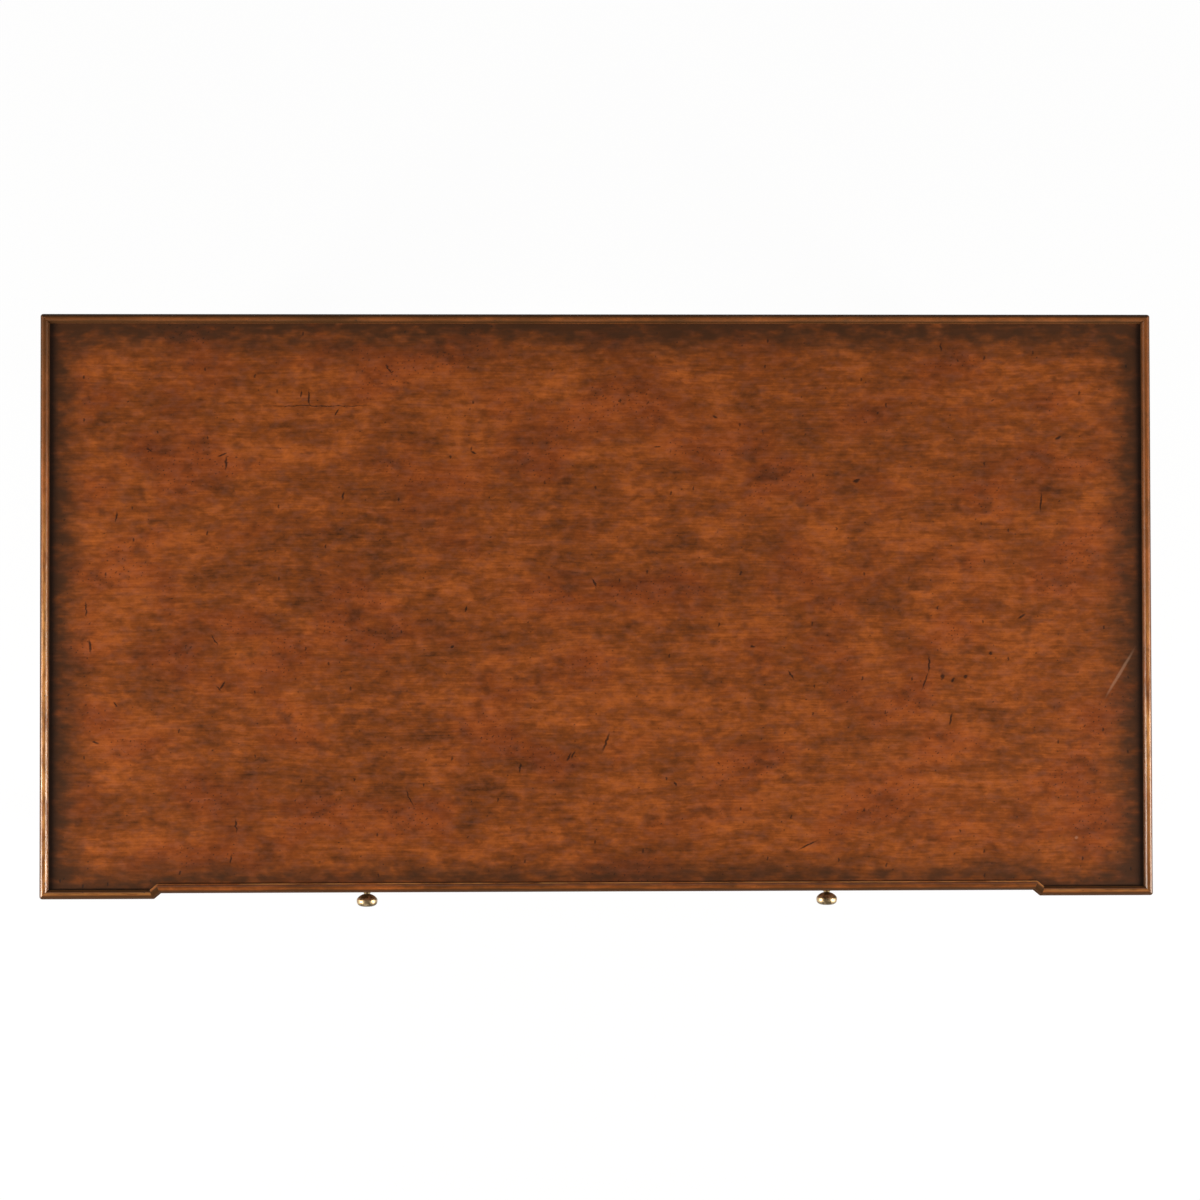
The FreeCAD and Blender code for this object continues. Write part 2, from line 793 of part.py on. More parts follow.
def knob(x):
    """Turned knob: a rose on the drawer front, a neck and a flattened round head."""
    head_radius = knob_head_diameter / 2
    neck = knob_neck_diameter / 2
    rose = knob_rose_diameter / 2
    bore = knob_screw_diameter / 2 + hole_clearance
    tip = frieze_recess - knob_projection
    middle = tip + knob_head_thickness / 2
    turn = math.acos(neck / head_radius)
    head = Part.Ellipse(Vector(0, middle, 0), head_radius, knob_head_thickness / 2)
    curve = Part.ArcOfEllipse(head, -math.pi / 2, turn).toShape()
    corners = [
        Vector(neck, middle + knob_head_thickness / 2 * math.sin(turn), 0),
        Vector(neck, frieze_recess - knob_rose_thickness, 0),
        Vector(rose, frieze_recess - knob_rose_thickness, 0),
        Vector(rose, frieze_recess, 0),
        Vector(bore, frieze_recess, 0),
        Vector(bore, frieze_recess - knob_bore_depth, 0),
        Vector(0, frieze_recess - knob_bore_depth, 0),
        Vector(0, tip, 0),
    ]
    outline_edges = [curve] + [line(a, b) for a, b in zip(corners, corners[1:])]
    shape = Part.Face(Part.Wire(outline_edges)).revolve(Vector(0, 0, 0), Vector(0, 1, 0), 360)
    shape.translate(Vector(x, 0, knob_level))
    return shape


def knob_screw(x):
    """Screw from inside the drawer through its front into the knob."""
    length = drawer_front_thickness + knob_bore_depth - hole_clearance
    shank = Part.makeCylinder(knob_screw_diameter / 2, length, Vector(0, front_inner - length, 0), to_back)
    head_radius = knob_screw_head_diameter / 2
    head = Part.makeCylinder(head_radius, knob_screw_head_height, Vector(0, front_inner, 0), to_back)
    head_end = front_inner + knob_screw_head_height
    slot_depth = (head_end - screw_slot_depth, head_end)
    slot = box((around(0, 2 * knob_screw_head_diameter), slot_depth, around(0, screw_slot_width)))
    screw = joined([shank, head]).cut(slot)
    screw.translate(Vector(x, 0, knob_level))
    return screw


def build():
    """Every piece by the name of its node. A group of like pieces is a list."""
    parts = {"top_panel": top_panel()}
    for index, name in enumerate(edge_names):
        parts[name] = edge_piece(index)
    for end, row in ((-1, "front"), (1, "back")):
        for side, hand in ((-1, "left"), (1, "right")):
            parts["leg_" + row + "_" + hand] = leg(side, end)
    parts["left_apron"] = side_apron(-1)
    parts["right_apron"] = side_apron(1)
    parts["back_apron"] = back_apron()
    parts["front_block_right"] = front_block()
    parts["front_block_left"] = mirrored(front_block())
    parts["front_bottom_rail"] = front_bottom_rail()
    parts["front_top_rail"] = front_top_rail()
    for name, (place, low) in bearers.items():
        parts[name] = bearer(place, low)
    parts.update(lower_beads())
    parts["guide_right"] = guide()
    parts["guide_left"] = mirrored(guide())
    parts["drawer_stops"] = drawer_stops()
    parts["tenon_pegs"] = [peg for side in (-1, 1) for end in (-1, 1) for peg in side_pegs(side, end, 0)]
    parts["tenon_pegs"] += [peg for side in (-1, 1) for peg in back_pegs(side, 0)]
    parts["top_buttons"] = [top_button(*button) for button in buttons]
    under = frieze_top - button_thickness
    button_places = [button_screw_place(*button) for button in buttons]
    parts["button_screws"] = [wood_screw(*place, under, button_screw_length) for place in button_places]
    parts["rail_screws"] = [wood_screw(*place, top_rail_low, rail_screw_length) for place in rail_screw_places]
    centre_x = frieze_side - post_size / 2
    rows = (frieze_front + post_size / 2, frieze_back - post_size / 2)
    parts["foot_glides"] = [foot_glide(side * centre_x, y) for side in (-1, 1) for y in rows]
    parts["drawer_front"] = drawer_front()
    parts["drawer_side_left"] = drawer_side(-1)
    parts["drawer_side_right"] = drawer_side(1)
    parts["drawer_back"] = drawer_back()
    parts["drawer_bottom_left"] = drawer_bottom(-1)
    parts["drawer_bottom_right"] = drawer_bottom(1)
    parts["drawer_muntin"] = drawer_muntin()
    parts.update(cock_beads())
    for name, x in knob_places.items():
        parts[name] = knob(x)
    parts["knob_screws"] = [knob_screw(x) for x in knob_places.values()]
    under = bottom_low
    parts["bottom_screws"] = [wood_screw(*place, under, bottom_screw_length) for place in bottom_screw_places]
    return parts


os.makedirs("parts", exist_ok=True)
whole = FreeCAD.BoundBox()
for name, made in build().items():
    pieces = made if isinstance(made, list) else [made]
    solids = [solid for piece in pieces for solid in piece.Solids]
    shape = solids[0] if len(solids) == 1 else Part.makeCompound(solids)
    shape.exportStep("parts/" + name + ".step")
    whole.add(shape.BoundBox)
    volume = sum(solid.Volume for solid in solids)
    print(name, len(solids), "solid(s)", round(volume), "mm3", "valid" if shape.isValid() else "NOT VALID")
print("box", whole)
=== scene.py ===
"""Looks of a writing table: antiqued wood, a moulded tray edge, brass knobs and a plain white studio.

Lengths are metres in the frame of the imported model: +X is to the sitter's right, -Y is towards the sitter
and +Z is up.
"""

import math

import bpy
import numpy as np
from bpy.props import FloatProperty, FloatVectorProperty, PointerProperty
from mathutils import Matrix, Vector


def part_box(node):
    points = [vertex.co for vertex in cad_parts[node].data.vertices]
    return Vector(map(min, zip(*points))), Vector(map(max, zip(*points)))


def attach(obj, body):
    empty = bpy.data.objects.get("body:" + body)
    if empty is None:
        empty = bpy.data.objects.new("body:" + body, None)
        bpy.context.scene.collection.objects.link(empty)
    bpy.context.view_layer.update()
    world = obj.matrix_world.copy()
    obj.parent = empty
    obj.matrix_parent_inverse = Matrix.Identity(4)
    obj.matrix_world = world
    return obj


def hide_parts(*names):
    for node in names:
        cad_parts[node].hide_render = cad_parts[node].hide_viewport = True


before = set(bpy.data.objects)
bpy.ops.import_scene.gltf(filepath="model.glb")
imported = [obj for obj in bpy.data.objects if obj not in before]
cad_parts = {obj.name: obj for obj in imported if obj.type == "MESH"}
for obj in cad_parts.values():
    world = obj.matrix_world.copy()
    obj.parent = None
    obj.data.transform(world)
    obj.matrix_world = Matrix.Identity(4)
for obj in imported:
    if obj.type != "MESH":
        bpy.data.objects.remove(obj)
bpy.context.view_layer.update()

bl_info = {
    "name": "Writing table",
    "version": (1, 0, 0),
    "blender": (4, 5, 0),
    "location": "3D View > Sidebar > Writing table",
    "description": "Builds the shapes and finishes of a writing table round its packed model",
    "category": "Object",
}

mm = 0.001

# Width and height of the photograph in pixels
photo_side = 1200


def linear(*channels):
    """Scene-linear colour of a display colour whose channels run from 0 to 255."""
    parts = [channel / 255 for channel in channels]
    return tuple(((part + 0.055) / 1.055) ** 2.4 if part > 0.04045 else part / 12.92 for part in parts)


def length(name, description, default):
    """Property that holds a length."""
    return FloatProperty(
        name=name, description=description, default=default, min=0, unit="LENGTH", precision=4
    )


def share(name, description, default):
    """Property that holds a share from 0 to 1."""
    return FloatProperty(name=name, description=description, default=default, min=0, max=1, subtype="FACTOR")


def colour(name, description, default):
    """Property that holds a colour."""
    return FloatVectorProperty(
        name=name, description=description, default=default, min=0, max=1, size=3, subtype="COLOR"
    )


# Settings


class AntiquedWood(bpy.types.PropertyGroup):
    """Colours and grain of the polished wood that shows outside."""

    ground: colour("Ground", "Usual colour of the polished wood", linear(124, 61, 16))
    shade: colour("Shade", "Colour of the darkest clouds and fibres", linear(58, 30, 9))
    glow: colour("Glow", "Colour of the brightest wood", linear(178, 92, 34))
    ruddy: colour("Ruddy", "Redder tint of some patches", linear(132, 54, 20))
    # This colour also paints shade on the nosing's top and on the beads' outer feet
    glaze: colour("Glaze", "Burnt-looking colour along the edges", linear(58, 33, 13))
    # This colour also paints the shade in the top's corner under the moulded edge
    dirt_and_shade: colour("Dirt", "Colour of the deepest corners and marks", linear(24, 15, 9))
    rubbed: colour("Rubbed", "Colour where hands have worn an edge", linear(208, 140, 70))
    golden: colour("Golden", "Tint of the thinner polish on the frame and the edge", linear(118, 78, 40))
    haze: colour("Haze", "Greyer tint of the wax in places", linear(140, 82, 60))
    scratch: colour("Scratch", "Colour of a scratch through the polish", linear(190, 150, 122))
    fibre_width: length("Fibre width", "Width of one fine fibre of the grain", 2.2 * mm)
    fibre_length: length("Fibre length", "Length of one fine fibre of the grain", 55 * mm)
    mottle_width: length("Mottle width", "Width of a small stain across the grain", 8.5 * mm)
    mottle_length: length("Mottle length", "Length of a small stain along the grain", 14 * mm)
    cloud_width: length("Cloud width", "Width of a dark cloud across the grain", 34 * mm)
    cloud_length: length("Cloud length", "Length of a dark cloud along the grain", 58 * mm)
    fibre_weight: share("Fibre weight", "How much the fibres count in the tone", 0.29)
    mottle_weight: share("Mottle weight", "How much the small stains count in the tone", 0.52)
    streak_weight: share("Streak weight", "How much the streaks count in the tone", 0.2)
    cloud_weight: share("Cloud weight", "How much the dark clouds count in the tone", 0.61)
    patch_weight: share("Patch weight", "How much the wide patches count in the tone", 0.32)
    smudge_strength: share("Smudge strength", "Strength of the dark smudges on the top", 0.55)
    haze_strength: share("Haze strength", "Strength of the wax's greyer tint on the top", 0.28)
    burn_strength: share("Burn strength", "Strength of the burnt colour along the edges", 0.92)
    # Mark strength also sets how dark the painted shade in the top's corner is
    mark_and_shade_strength: share("Mark strength", "Strength of the dark marks on the top", 0.8)
    scratch_strength: share("Scratch strength", "Strength of the pale scratches", 0.24)
    glaze_strength: share("Glaze strength", "Strength of the glaze in hollows", 0.9)
    rub_strength: share("Rub strength", "Strength of the wear on crests", 0.85)
    roughness: share("Roughness", "Roughness of the satin polish", 0.36)
    shine: share("Shine", "Specular level of the satin polish", 0.32)
    frame_thinning: share("Frame thinning", "How golden the thinner polish of the frame is", 0.12)
    edge_thinning: share("Edge thinning", "How golden the thinner polish of the edge is", 0.35)


class PlainWood(bpy.types.PropertyGroup):
    """Colours and grain of the unpolished wood inside."""

    ground: colour("Ground", "Usual colour of the plain wood", linear(160, 130, 94))
    shade: colour("Shade", "Colour of its darker fibres", linear(122, 92, 62))
    roughness: share("Roughness", "Roughness of the bare wood", 0.62)


class Metals(bpy.types.PropertyGroup):
    """Colours of the brass and the steel."""

    brass: colour("Brass", "Colour of the rubbed brass", linear(176, 152, 116))
    # Also the colour of the painted shade on a knob's face
    aged_and_shaded: colour("Aged brass", "Colour of the brass in its hollows", linear(92, 77, 50))
    steel: colour("Steel", "Colour of the screws", linear(128, 126, 122))


class EdgeSizes(bpy.types.PropertyGroup):
    """Section of the moulded edge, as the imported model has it."""

    shoulder: length("Shoulder", "Flat outside the bead", 1.6 * mm)
    bead: length("Bead", "Width of the round bead", 9 * mm)
    bead_rise: length("Bead rise", "Height of the bead's arc", 3.4 * mm)
    fillet: length("Fillet", "Flat inside the bead", 1.4 * mm)
    nosing_drop: length("Nosing drop", "How far the nosing's top lies below the rim", 7 * mm)
    nosing_bulge: length("Nosing bulge", "How far the nosing swells", 0.8 * mm)
    foot_height: length("Foot height", "Height of the recess under the nosing", 5 * mm)
    foot_inset: length("Foot inset", "Depth of the recess under the nosing", 2.2 * mm)
    corner: length("Corner", "Radius of the worn corners of the top in plan", 3.5 * mm)
    dent: length("Dent", "Depth of the deepest knock on the bead", 0.45 * mm)


class LegSizes(bpy.types.PropertyGroup):
    """Sizes of a leg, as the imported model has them."""

    knee: length("Knee", "Width under the neck", 50 * mm)
    ankle: length("Ankle", "Width over the foot", 32 * mm)
    foot_top: length("Foot top", "Width of the spade foot at its top", 44 * mm)
    foot_bottom: length("Foot bottom", "Width of the spade foot at its bottom", 34 * mm)
    foot_height: length("Foot height", "Height of the spade foot's top over the floor", 92 * mm)
    ankle_slope: length("Ankle slope", "Height of the slope over the foot", 8 * mm)
    neck: length("Neck", "Height of the flare under the post", 8 * mm)
    arris: length("Arris", "Radius of a leg's worn corners", 1.6 * mm)


class FriezeSizes(bpy.types.PropertyGroup):
    """Sizes of the frieze boards, beads and pegs."""

    arris: length("Arris", "Radius of a board's softened corners", 0.8 * mm)
    bead_projection: length("Bead projection", "How far the lower bead stands out", 1.8 * mm)
    tenon: length("Tenon", "Length of a tenon, whose middle its pegs go through", 24 * mm)
    peg: length("Peg", "Diameter of a tenon peg", 6 * mm)
    peg_spread: length("Peg spread", "Distance between the two pegs of a tenon", 50 * mm)
    peg_length: length("Peg length", "Length of a tenon peg", 28 * mm)
    peg_proud: length("Peg proud", "How far a peg's worn dome stands out", 0.35 * mm)
    cock_bead: length("Cock bead", "Thickness of the bead round the drawer front", 3 * mm)


class KnobSizes(bpy.types.PropertyGroup):
    """Sizes of a knob."""

    rose: length("Rose", "Diameter of the flat rose", 20 * mm)
    rose_thickness: length("Rose thickness", "Thickness of the rose", 2.5 * mm)
    neck: length("Neck", "Diameter of the neck", 12.4 * mm)
    head_front: length("Head front", "Length of the head before its widest place", 8.3 * mm)
    head_back: length("Head back", "Length of the head behind its widest place", 8.3 * mm)


class StageSettings(bpy.types.PropertyGroup):
    """Camera, lamps and floor."""

    camera_height: length("Camera height", "Height of the camera over the nosing", 3.5)
    focal_pixels: FloatProperty(
        name="Focal length in pixels", description="Fitted to the corners in the photograph", default=2832.4
    )
    lamp_width: length("Lamp width", "Length of a softbox along the table's depth", 1.4)
    lamp_length: length("Lamp length", "Height of a softbox", 1.6)
    lamp_power: FloatProperty(
        name="Lamp power", description="Power of a softbox", default=150, min=0, unit="POWER"
    )
    lamp_side: length("Lamp side", "Distance of a softbox from the middle, to the left or right", 3)
    lamp_front: length("Lamp front", "Distance of a softbox in front of the middle", 0.95)
    lamp_rise: length("Lamp rise", "Height of a softbox over the rim", 0.95)
    lamp_colour: colour("Lamp colour", "Slightly warm white of a softbox", (1, 0.97, 0.92))
    fill: share("Fill", "Strength of the light from all round", 0.24)
    ceiling: share("Ceiling", "How bright the ceiling looks in reflections", 0.08)
    floor_glow: share("Floor glow", "Share of the floor's white that is free of shadow", 0.95)
    floor_radius: length("Floor radius", "Radius of the round white floor", 6)
    fade_start: length("Fade start", "Distance from the middle where shadows start to fade", 0.9)
    fade_end: length("Fade end", "Distance from the middle where the floor is plain white", 4.2)


class TableSettings(bpy.types.PropertyGroup):
    """All settings of the writing table."""

    wood: PointerProperty(type=AntiquedWood)
    plain: PointerProperty(type=PlainWood)
    metals: PointerProperty(type=Metals)
    edge: PointerProperty(type=EdgeSizes)
    leg: PointerProperty(type=LegSizes)
    frieze: PointerProperty(type=FriezeSizes)
    knob: PointerProperty(type=KnobSizes)
    stage: PointerProperty(type=StageSettings)


# Shader maths


class Value:
    """Output of a shader node. Arithmetic on it adds Math nodes."""

    def __init__(self, paint, socket):
        self.paint = paint
        self.socket = socket

    def math(self, operation, *values):
        """Math node of an operation on values or links."""
        return self.paint.node("ShaderNodeMath", {"operation": operation}, dict(enumerate(values)))

    def __add__(self, other):
        return self.math("ADD", self, other)

    def __sub__(self, other):
        return self.math("SUBTRACT", self, other)

    def __rsub__(self, other):
        return self.math("SUBTRACT", other, self)

    def __mul__(self, other):
        return self.math("MULTIPLY", self, other)

    __radd__ = __add__
    __rmul__ = __mul__

    def larger(self, other):
        """The larger of two values."""
        return self.math("MAXIMUM", self, other)

    def smaller(self, other):
        """The smaller of two values."""
        return self.math("MINIMUM", self, other)

    def step(self, low, high):
        """Smooth step from 0 at low to 1 at high. High may be the smaller."""
        sockets = {"Value": self, "From Min": low, "From Max": high}
        return self.paint.node("ShaderNodeMapRange", {"interpolation_type": "SMOOTHSTEP"}, sockets)


class Paint:
    """Material or world that is being put together node by node."""

    def __init__(self, owner):
        owner.use_nodes = True
        self.owner = owner
        self.nodes = owner.node_tree.nodes
        self.links = owner.node_tree.links
        self.nodes.clear()

    def node(self, kind, settings=None, sockets=None, output=0):
        """Adds a node, makes its settings, fills its sockets with values or links and returns an output."""
        made = self.nodes.new(kind)
        for key, setting in (settings or {}).items():
            if key == "stops":
                self.fill_ramp(made.color_ramp, setting)
            else:
                setattr(made, key, setting)
        for key, entry in (sockets or {}).items():
            if isinstance(entry, Value):
                self.links.new(entry.socket, made.inputs[key])
            else:
                made.inputs[key].default_value = entry
        return Value(self, made.outputs[output]) if made.outputs else made

    @staticmethod
    def fill_ramp(ramp, stops):
        """Gives a colour ramp its stops, each a place and a colour."""
        while len(ramp.elements) < len(stops):
            ramp.elements.new(1)
        for element, (place, tint) in zip(ramp.elements, stops):
            element.position = place
            element.color = (*tint, 1)

    def ramp(self, value, *stops):
        """Colour that a value picks from stops."""
        return self.node("ShaderNodeValToRGB", {"stops": stops}, {"Fac": value})

    def mix(self, mask, plain, covered):
        """Colour that goes from plain to covered as the mask goes from 0 to 1."""
        tints = [tint if isinstance(tint, Value) else (*tint, 1) for tint in (plain, covered)]
        sockets = {0: mask, 6: tints[0], 7: tints[1]}
        return self.node("ShaderNodeMix", {"data_type": "RGBA"}, sockets, output=2)

    def vector(self, operation, *values, output=0):
        """Vector Math node of an operation on values or links."""
        settings = {"operation": operation}
        return self.node("ShaderNodeVectorMath", settings, dict(enumerate(values)), output)

    def attribute(self, name, output):
        """Attribute of the mesh, as a vector or a number."""
        return self.node("ShaderNodeAttribute", {"attribute_name": name}, output=output)

    def place(self, turn=(0, 0, 0), shift=(0, 0, 0)):
        """Place on the piece in its own coordinates, turned and shifted."""
        local = self.node("ShaderNodeTexCoord", output="Object")
        return self.node("ShaderNodeMapping", {}, {"Vector": local, "Rotation": turn, "Location": shift})

    def scaled(self, place, sizes):
        """Place counted in sizes along X, Y and Z. Where Z has no size of its own, it has that of Y."""
        scale = [1 / size for size in (*sizes, sizes[-1])[:3]]
        return self.node("ShaderNodeMapping", {}, {"Vector": place, "Scale": scale})

    def noise(self, place, sizes, detail=2.0, roughness=0.5, distortion=0.0):
        """Noise whose patches have the given sizes."""
        sockets = {"Vector": self.scaled(place, sizes), "Scale": 1.0}
        sockets |= {"Detail": detail, "Roughness": roughness, "Distortion": distortion}
        return self.node("ShaderNodeTexNoise", {}, sockets)

    def pattern(self, name, place):
        """Noise that the patterns of the finishes describe."""
        sizes, *settings = patterns[name]
        return self.noise(place, [size * mm for size in sizes], *settings)

    def specks(self, place, sizes, radius, chance):
        """Marks of a radius in a share of the cells of the given sizes: 1 inside and 0 outside."""
        sockets = {"Vector": self.scaled(place, sizes), "Scale": 1.0}
        distance = self.node("ShaderNodeTexVoronoi", {"voronoi_dimensions": "2D"}, sockets)
        cell_colour = Value(self, distance.socket.node.outputs["Color"])
        pick = self.node("ShaderNodeSeparateColor", {}, {"Color": cell_colour})
        return distance.step(radius, radius / 2) * pick.step(1 - chance, 1 - 0.9 * chance)

    def strokes(self, place, marks):
        """Long soft marks, each given by its middle, its length and width, and its angle: 1 inside.

        A material has room for few open values, so after every few marks the place is tied to the result so
        far by a vanishing share of it. That makes the marks follow each other.
        """
        marks_at_once = 8
        vanishing = 1e-9
        any_height = 1e3
        nearest = None
        for index, (middle, size, angle) in enumerate(marks, start=1):
            sockets = {"Vector": place, "Location": (*middle, 0), "Scale": (*size, any_height)}
            sockets["Rotation"] = (0, 0, math.radians(angle))
            local = self.node("ShaderNodeMapping", {"vector_type": "TEXTURE"}, sockets)
            reach = self.vector("LENGTH", local, output="Value")
            nearest = nearest.smaller(reach) if nearest else reach
            if index % marks_at_once == 0:
                place = self.vector("ADD", place, nearest * vanishing)
        return nearest.step(0.7, 0.25)

    def bump(self, height, depth):
        """Normal of a surface whose height, times a depth, stands out."""
        return self.node("ShaderNodeBump", {}, {"Height": height, "Distance": depth, "Strength": 1.0})

    def surface(self, **sockets):
        """Ends a material with a Principled surface. A socket's name is written with underscores."""
        named = {key.replace("_", " ").title(): entry for key, entry in sockets.items()}
        named = {key.replace("Ior", "IOR"): entry for key, entry in named.items()}
        shader = self.node("ShaderNodeBsdfPrincipled", {}, named)
        self.node("ShaderNodeOutputMaterial", {}, {"Surface": shader})
        return self.owner


def new_paint(name):
    """Paint of a new material."""
    return Paint(bpy.data.materials.new(name))


# Finishes

# Patterns of noise: sizes in mm along the grain and across it, then detail, roughness and distortion
patterns = {
    "sway": ((220, 100),),
    "streak": ((200, 13),),
    "patch": ((190, 150), 1.0),
    "ruddy": ((110, 70),),
    "soiled": ((110, 70),),
    "smudge": ((26, 20), 2.0, 0.55),
    "haze": ((16, 9), 4.0, 0.6),
    "wander": ((60, 35), 4.0, 0.65),
    "stain": ((24, 12),),
    "jitter": ((18, 10), 3.0, 0.5, 1.0),
    "wear": ((45, 8), 4.0, 0.65),
    "gathering": ((90, 30), 3.0),
    "knocks": ((7, 5),),
    "bare fibre": ((60, 1.4), 4.0, 0.65),
    "bare streak": ((500, 14), 3.0),
    "dust": ((90, 60), 3.0),
    "bloom": ((6, 6), 4.0, 0.6),
    "pitting": ((0.7, 0.7),),
    "scratches": ((3, 0.3, 3), 3.0),
}

# How far the fine grain sways, and how far the outlines of small marks wander
grain_sway = 30 * mm
mark_wander = 6 * mm


def grained(paint, place, wood, level=0.5, ruddy=0.12):
    """Bare antiqued wood: its colour, and the height of its fibres.

    Fine fibres, small stains, streaks, dark clouds and wide patches, each about 0 and times its weight, add
    up to one tone about a level, which picks a colour. Some patches are ruddy by a share.
    """
    sway = (paint.pattern("sway", place) - 0.5) * grain_sway
    bent = paint.vector("ADD", place, paint.node("ShaderNodeCombineXYZ", {}, {"Y": sway, "Z": sway}))
    fibre = paint.noise(bent, (wood.fibre_length, wood.fibre_width), roughness=0.6)
    mottle_sizes = (wood.mottle_length, wood.mottle_width)
    mottle = paint.noise(place, mottle_sizes, detail=3.0, roughness=0.7, distortion=0.3)
    streak = paint.pattern("streak", bent)
    cloud = paint.noise(place, (wood.cloud_length, wood.cloud_width), roughness=0.65, distortion=0.4)
    patch = paint.pattern("patch", place)
    tone = (fibre - 0.5) * wood.fibre_weight + (mottle - 0.5) * wood.mottle_weight
    tone = tone + (streak - 0.5) * wood.streak_weight + (cloud - 0.5) * wood.cloud_weight
    tone = tone + (patch - 0.5) * wood.patch_weight + level
    tint = paint.ramp(tone, (0.2, wood.shade), (0.5, wood.ground), (0.8, wood.glow))
    red = paint.pattern("ruddy", bent).step(0.45, 0.7) * ruddy
    return paint.mix(red, tint, wood.ruddy), fibre


def antiqued_panel(wood, stage):
    """Finish of the flat top, burnt along its edges and marked all over.

    The mesh brings three numbers: how burnt a place is at the edge, how much it glows, and how much painted
    shade it takes in the corner under the moulded edge, which also stands for glaze gathered there.
    """
    paint = new_paint("antiqued_panel")
    place = paint.place()
    glow = paint.attribute("glow", "Fac") * 0.08
    tint, fibre = grained(paint, place, wood, level=glow + 0.5, ruddy=0.35)
    edge = paint.attribute("edge", "Fac")
    corner = paint.attribute("corner", "Fac")
    soiled = paint.pattern("soiled", place)
    smudge = paint.pattern("smudge", place) + (soiled - 0.5) * 0.35
    tint = paint.mix(smudge.step(0.54, 0.8) * wood.smudge_strength, tint, wood.shade)
    haze = paint.pattern("haze", place).step(0.42, 0.72)
    tint = paint.mix(haze * wood.haze_strength, tint, wood.haze)
    wander = paint.pattern("wander", place) - 0.5
    stain = paint.pattern("stain", place) - 0.5
    burnt = (edge * (1 + stain * 1.8) + wander * 0.75).step(0.0, 1.0)
    tint = paint.mix(burnt * wood.burn_strength, tint, wood.glaze)
    marked = paint.vector("ADD", place, (paint.pattern("jitter", place) - 0.5) * mark_wander)
    ticks = paint.specks(marked, (30 * mm, 62 * mm), radius=0.05, chance=0.2) * 0.8
    nicks = paint.specks(marked, (26 * mm, 22 * mm), radius=0.05, chance=0.35) * 0.7
    dots = paint.specks(marked, (7 * mm, 6 * mm), radius=0.16, chance=0.6)
    dots = dots * soiled.step(0.56, 0.64) * 0.75
    marks = ticks.larger(nicks).larger(dots)
    # The corner number adds painted shade, with glaze, under the moulded edge in the dirt colour
    dark = marks.larger(paint.strokes(marked, on_panel(stage, top_marks))).larger(corner * 0.8)
    tint = paint.mix(dark * wood.mark_and_shade_strength, tint, wood.dirt_and_shade)
    scratches = paint.strokes(marked, on_panel(stage, pale_marks))
    tint = paint.mix(scratches * wood.scratch_strength, tint, wood.scratch)
    return paint.surface(
        base_color=tint,
        roughness=wood.roughness + (fibre - 0.5) * 0.16 + burnt * 0.06,
        specular_IOR_level=wood.shine,
        normal=paint.bump(fibre * 0.4 - marks, 0.08 * mm),
    )


def antiqued_frame(name, wood, thinned):
    """Finish of the frame or the moulded edge: glazed in hollows and rubbed on crests.

    The mesh brings places in the grain, and a tone that is negative in hollows and positive on crests.
    On the moulded edge some tones also paint shade, at the nosing's top and the beads' outer feet, and
    some paint light, at the fillets of the front length and the cants. The polish is thinned to the golden
    tint by a share.
    """
    paint = new_paint(name)
    place = paint.attribute("grain", "Vector")
    tone = paint.attribute("tone", "Fac")
    tint, fibre = grained(paint, place, wood)
    rubbed = tone.step(0.15, 1.0) * paint.pattern("wear", place).step(0.35, 0.62)
    # Glaze gathers in hollows; where the edge's tones stand for shade, this mask is painted shade too
    glazed_and_shaded = (paint.pattern("gathering", place) - 0.5 - tone).step(-0.3, 0.7)
    tint = paint.mix(thinned, tint, wood.golden)
    tint = paint.mix(glazed_and_shaded * wood.glaze_strength, tint, wood.glaze)
    tint = paint.mix(rubbed * wood.rub_strength, tint, wood.rubbed)
    knocks = paint.pattern("knocks", place).step(0.7, 0.8) * 0.7
    tint = paint.mix(knocks, tint, wood.dirt_and_shade)
    return paint.surface(
        base_color=tint,
        roughness=wood.roughness + 0.1 + (fibre - 0.5) * 0.16 + glazed_and_shaded * 0.2,
        specular_IOR_level=0.2,
        specular_tint=(1, 0.8, 0.5, 1),
        coat_weight=(1 - glazed_and_shaded) * 0.4 + rubbed * 0.6,
        coat_roughness=0.27,
        coat_IOR=1.7,
        normal=paint.bump(fibre * 0.12 - knocks, 0.2 * mm),
    )


def antiqued_board(name, wood, turn, shift):
    """Finish of a packed board of polished wood, whose grain is turned to run along it."""
    paint = new_paint(name)
    tint, fibre = grained(paint, paint.place(turn, shift), wood)
    return paint.surface(
        base_color=tint,
        roughness=wood.roughness + (fibre - 0.5) * 0.16,
        specular_IOR_level=wood.shine,
        normal=paint.bump(fibre, 0.03 * mm),
    )


def plain_board(name, plain, turn, shift):
    """Finish of a bare inside board: pale fibres, faint streaks and a little dust."""
    paint = new_paint(name)
    place = paint.place(turn, shift)
    fibre = paint.pattern("bare fibre", place)
    streak = paint.pattern("bare streak", place)
    dust = paint.pattern("dust", place)
    tone = 0.5 + (fibre - 0.5) * 0.8 + (streak - 0.5) * 0.5 + (dust - 0.5) * 0.3
    pale = tuple(min(1, channel * 1.18) for channel in plain.ground)
    return paint.surface(
        base_color=paint.ramp(tone, (0.2, plain.shade), (0.5, plain.ground), (0.8, pale)),
        roughness=plain.roughness + (fibre - 0.5) * 0.2,
        normal=paint.bump(fibre, 0.06 * mm),
    )


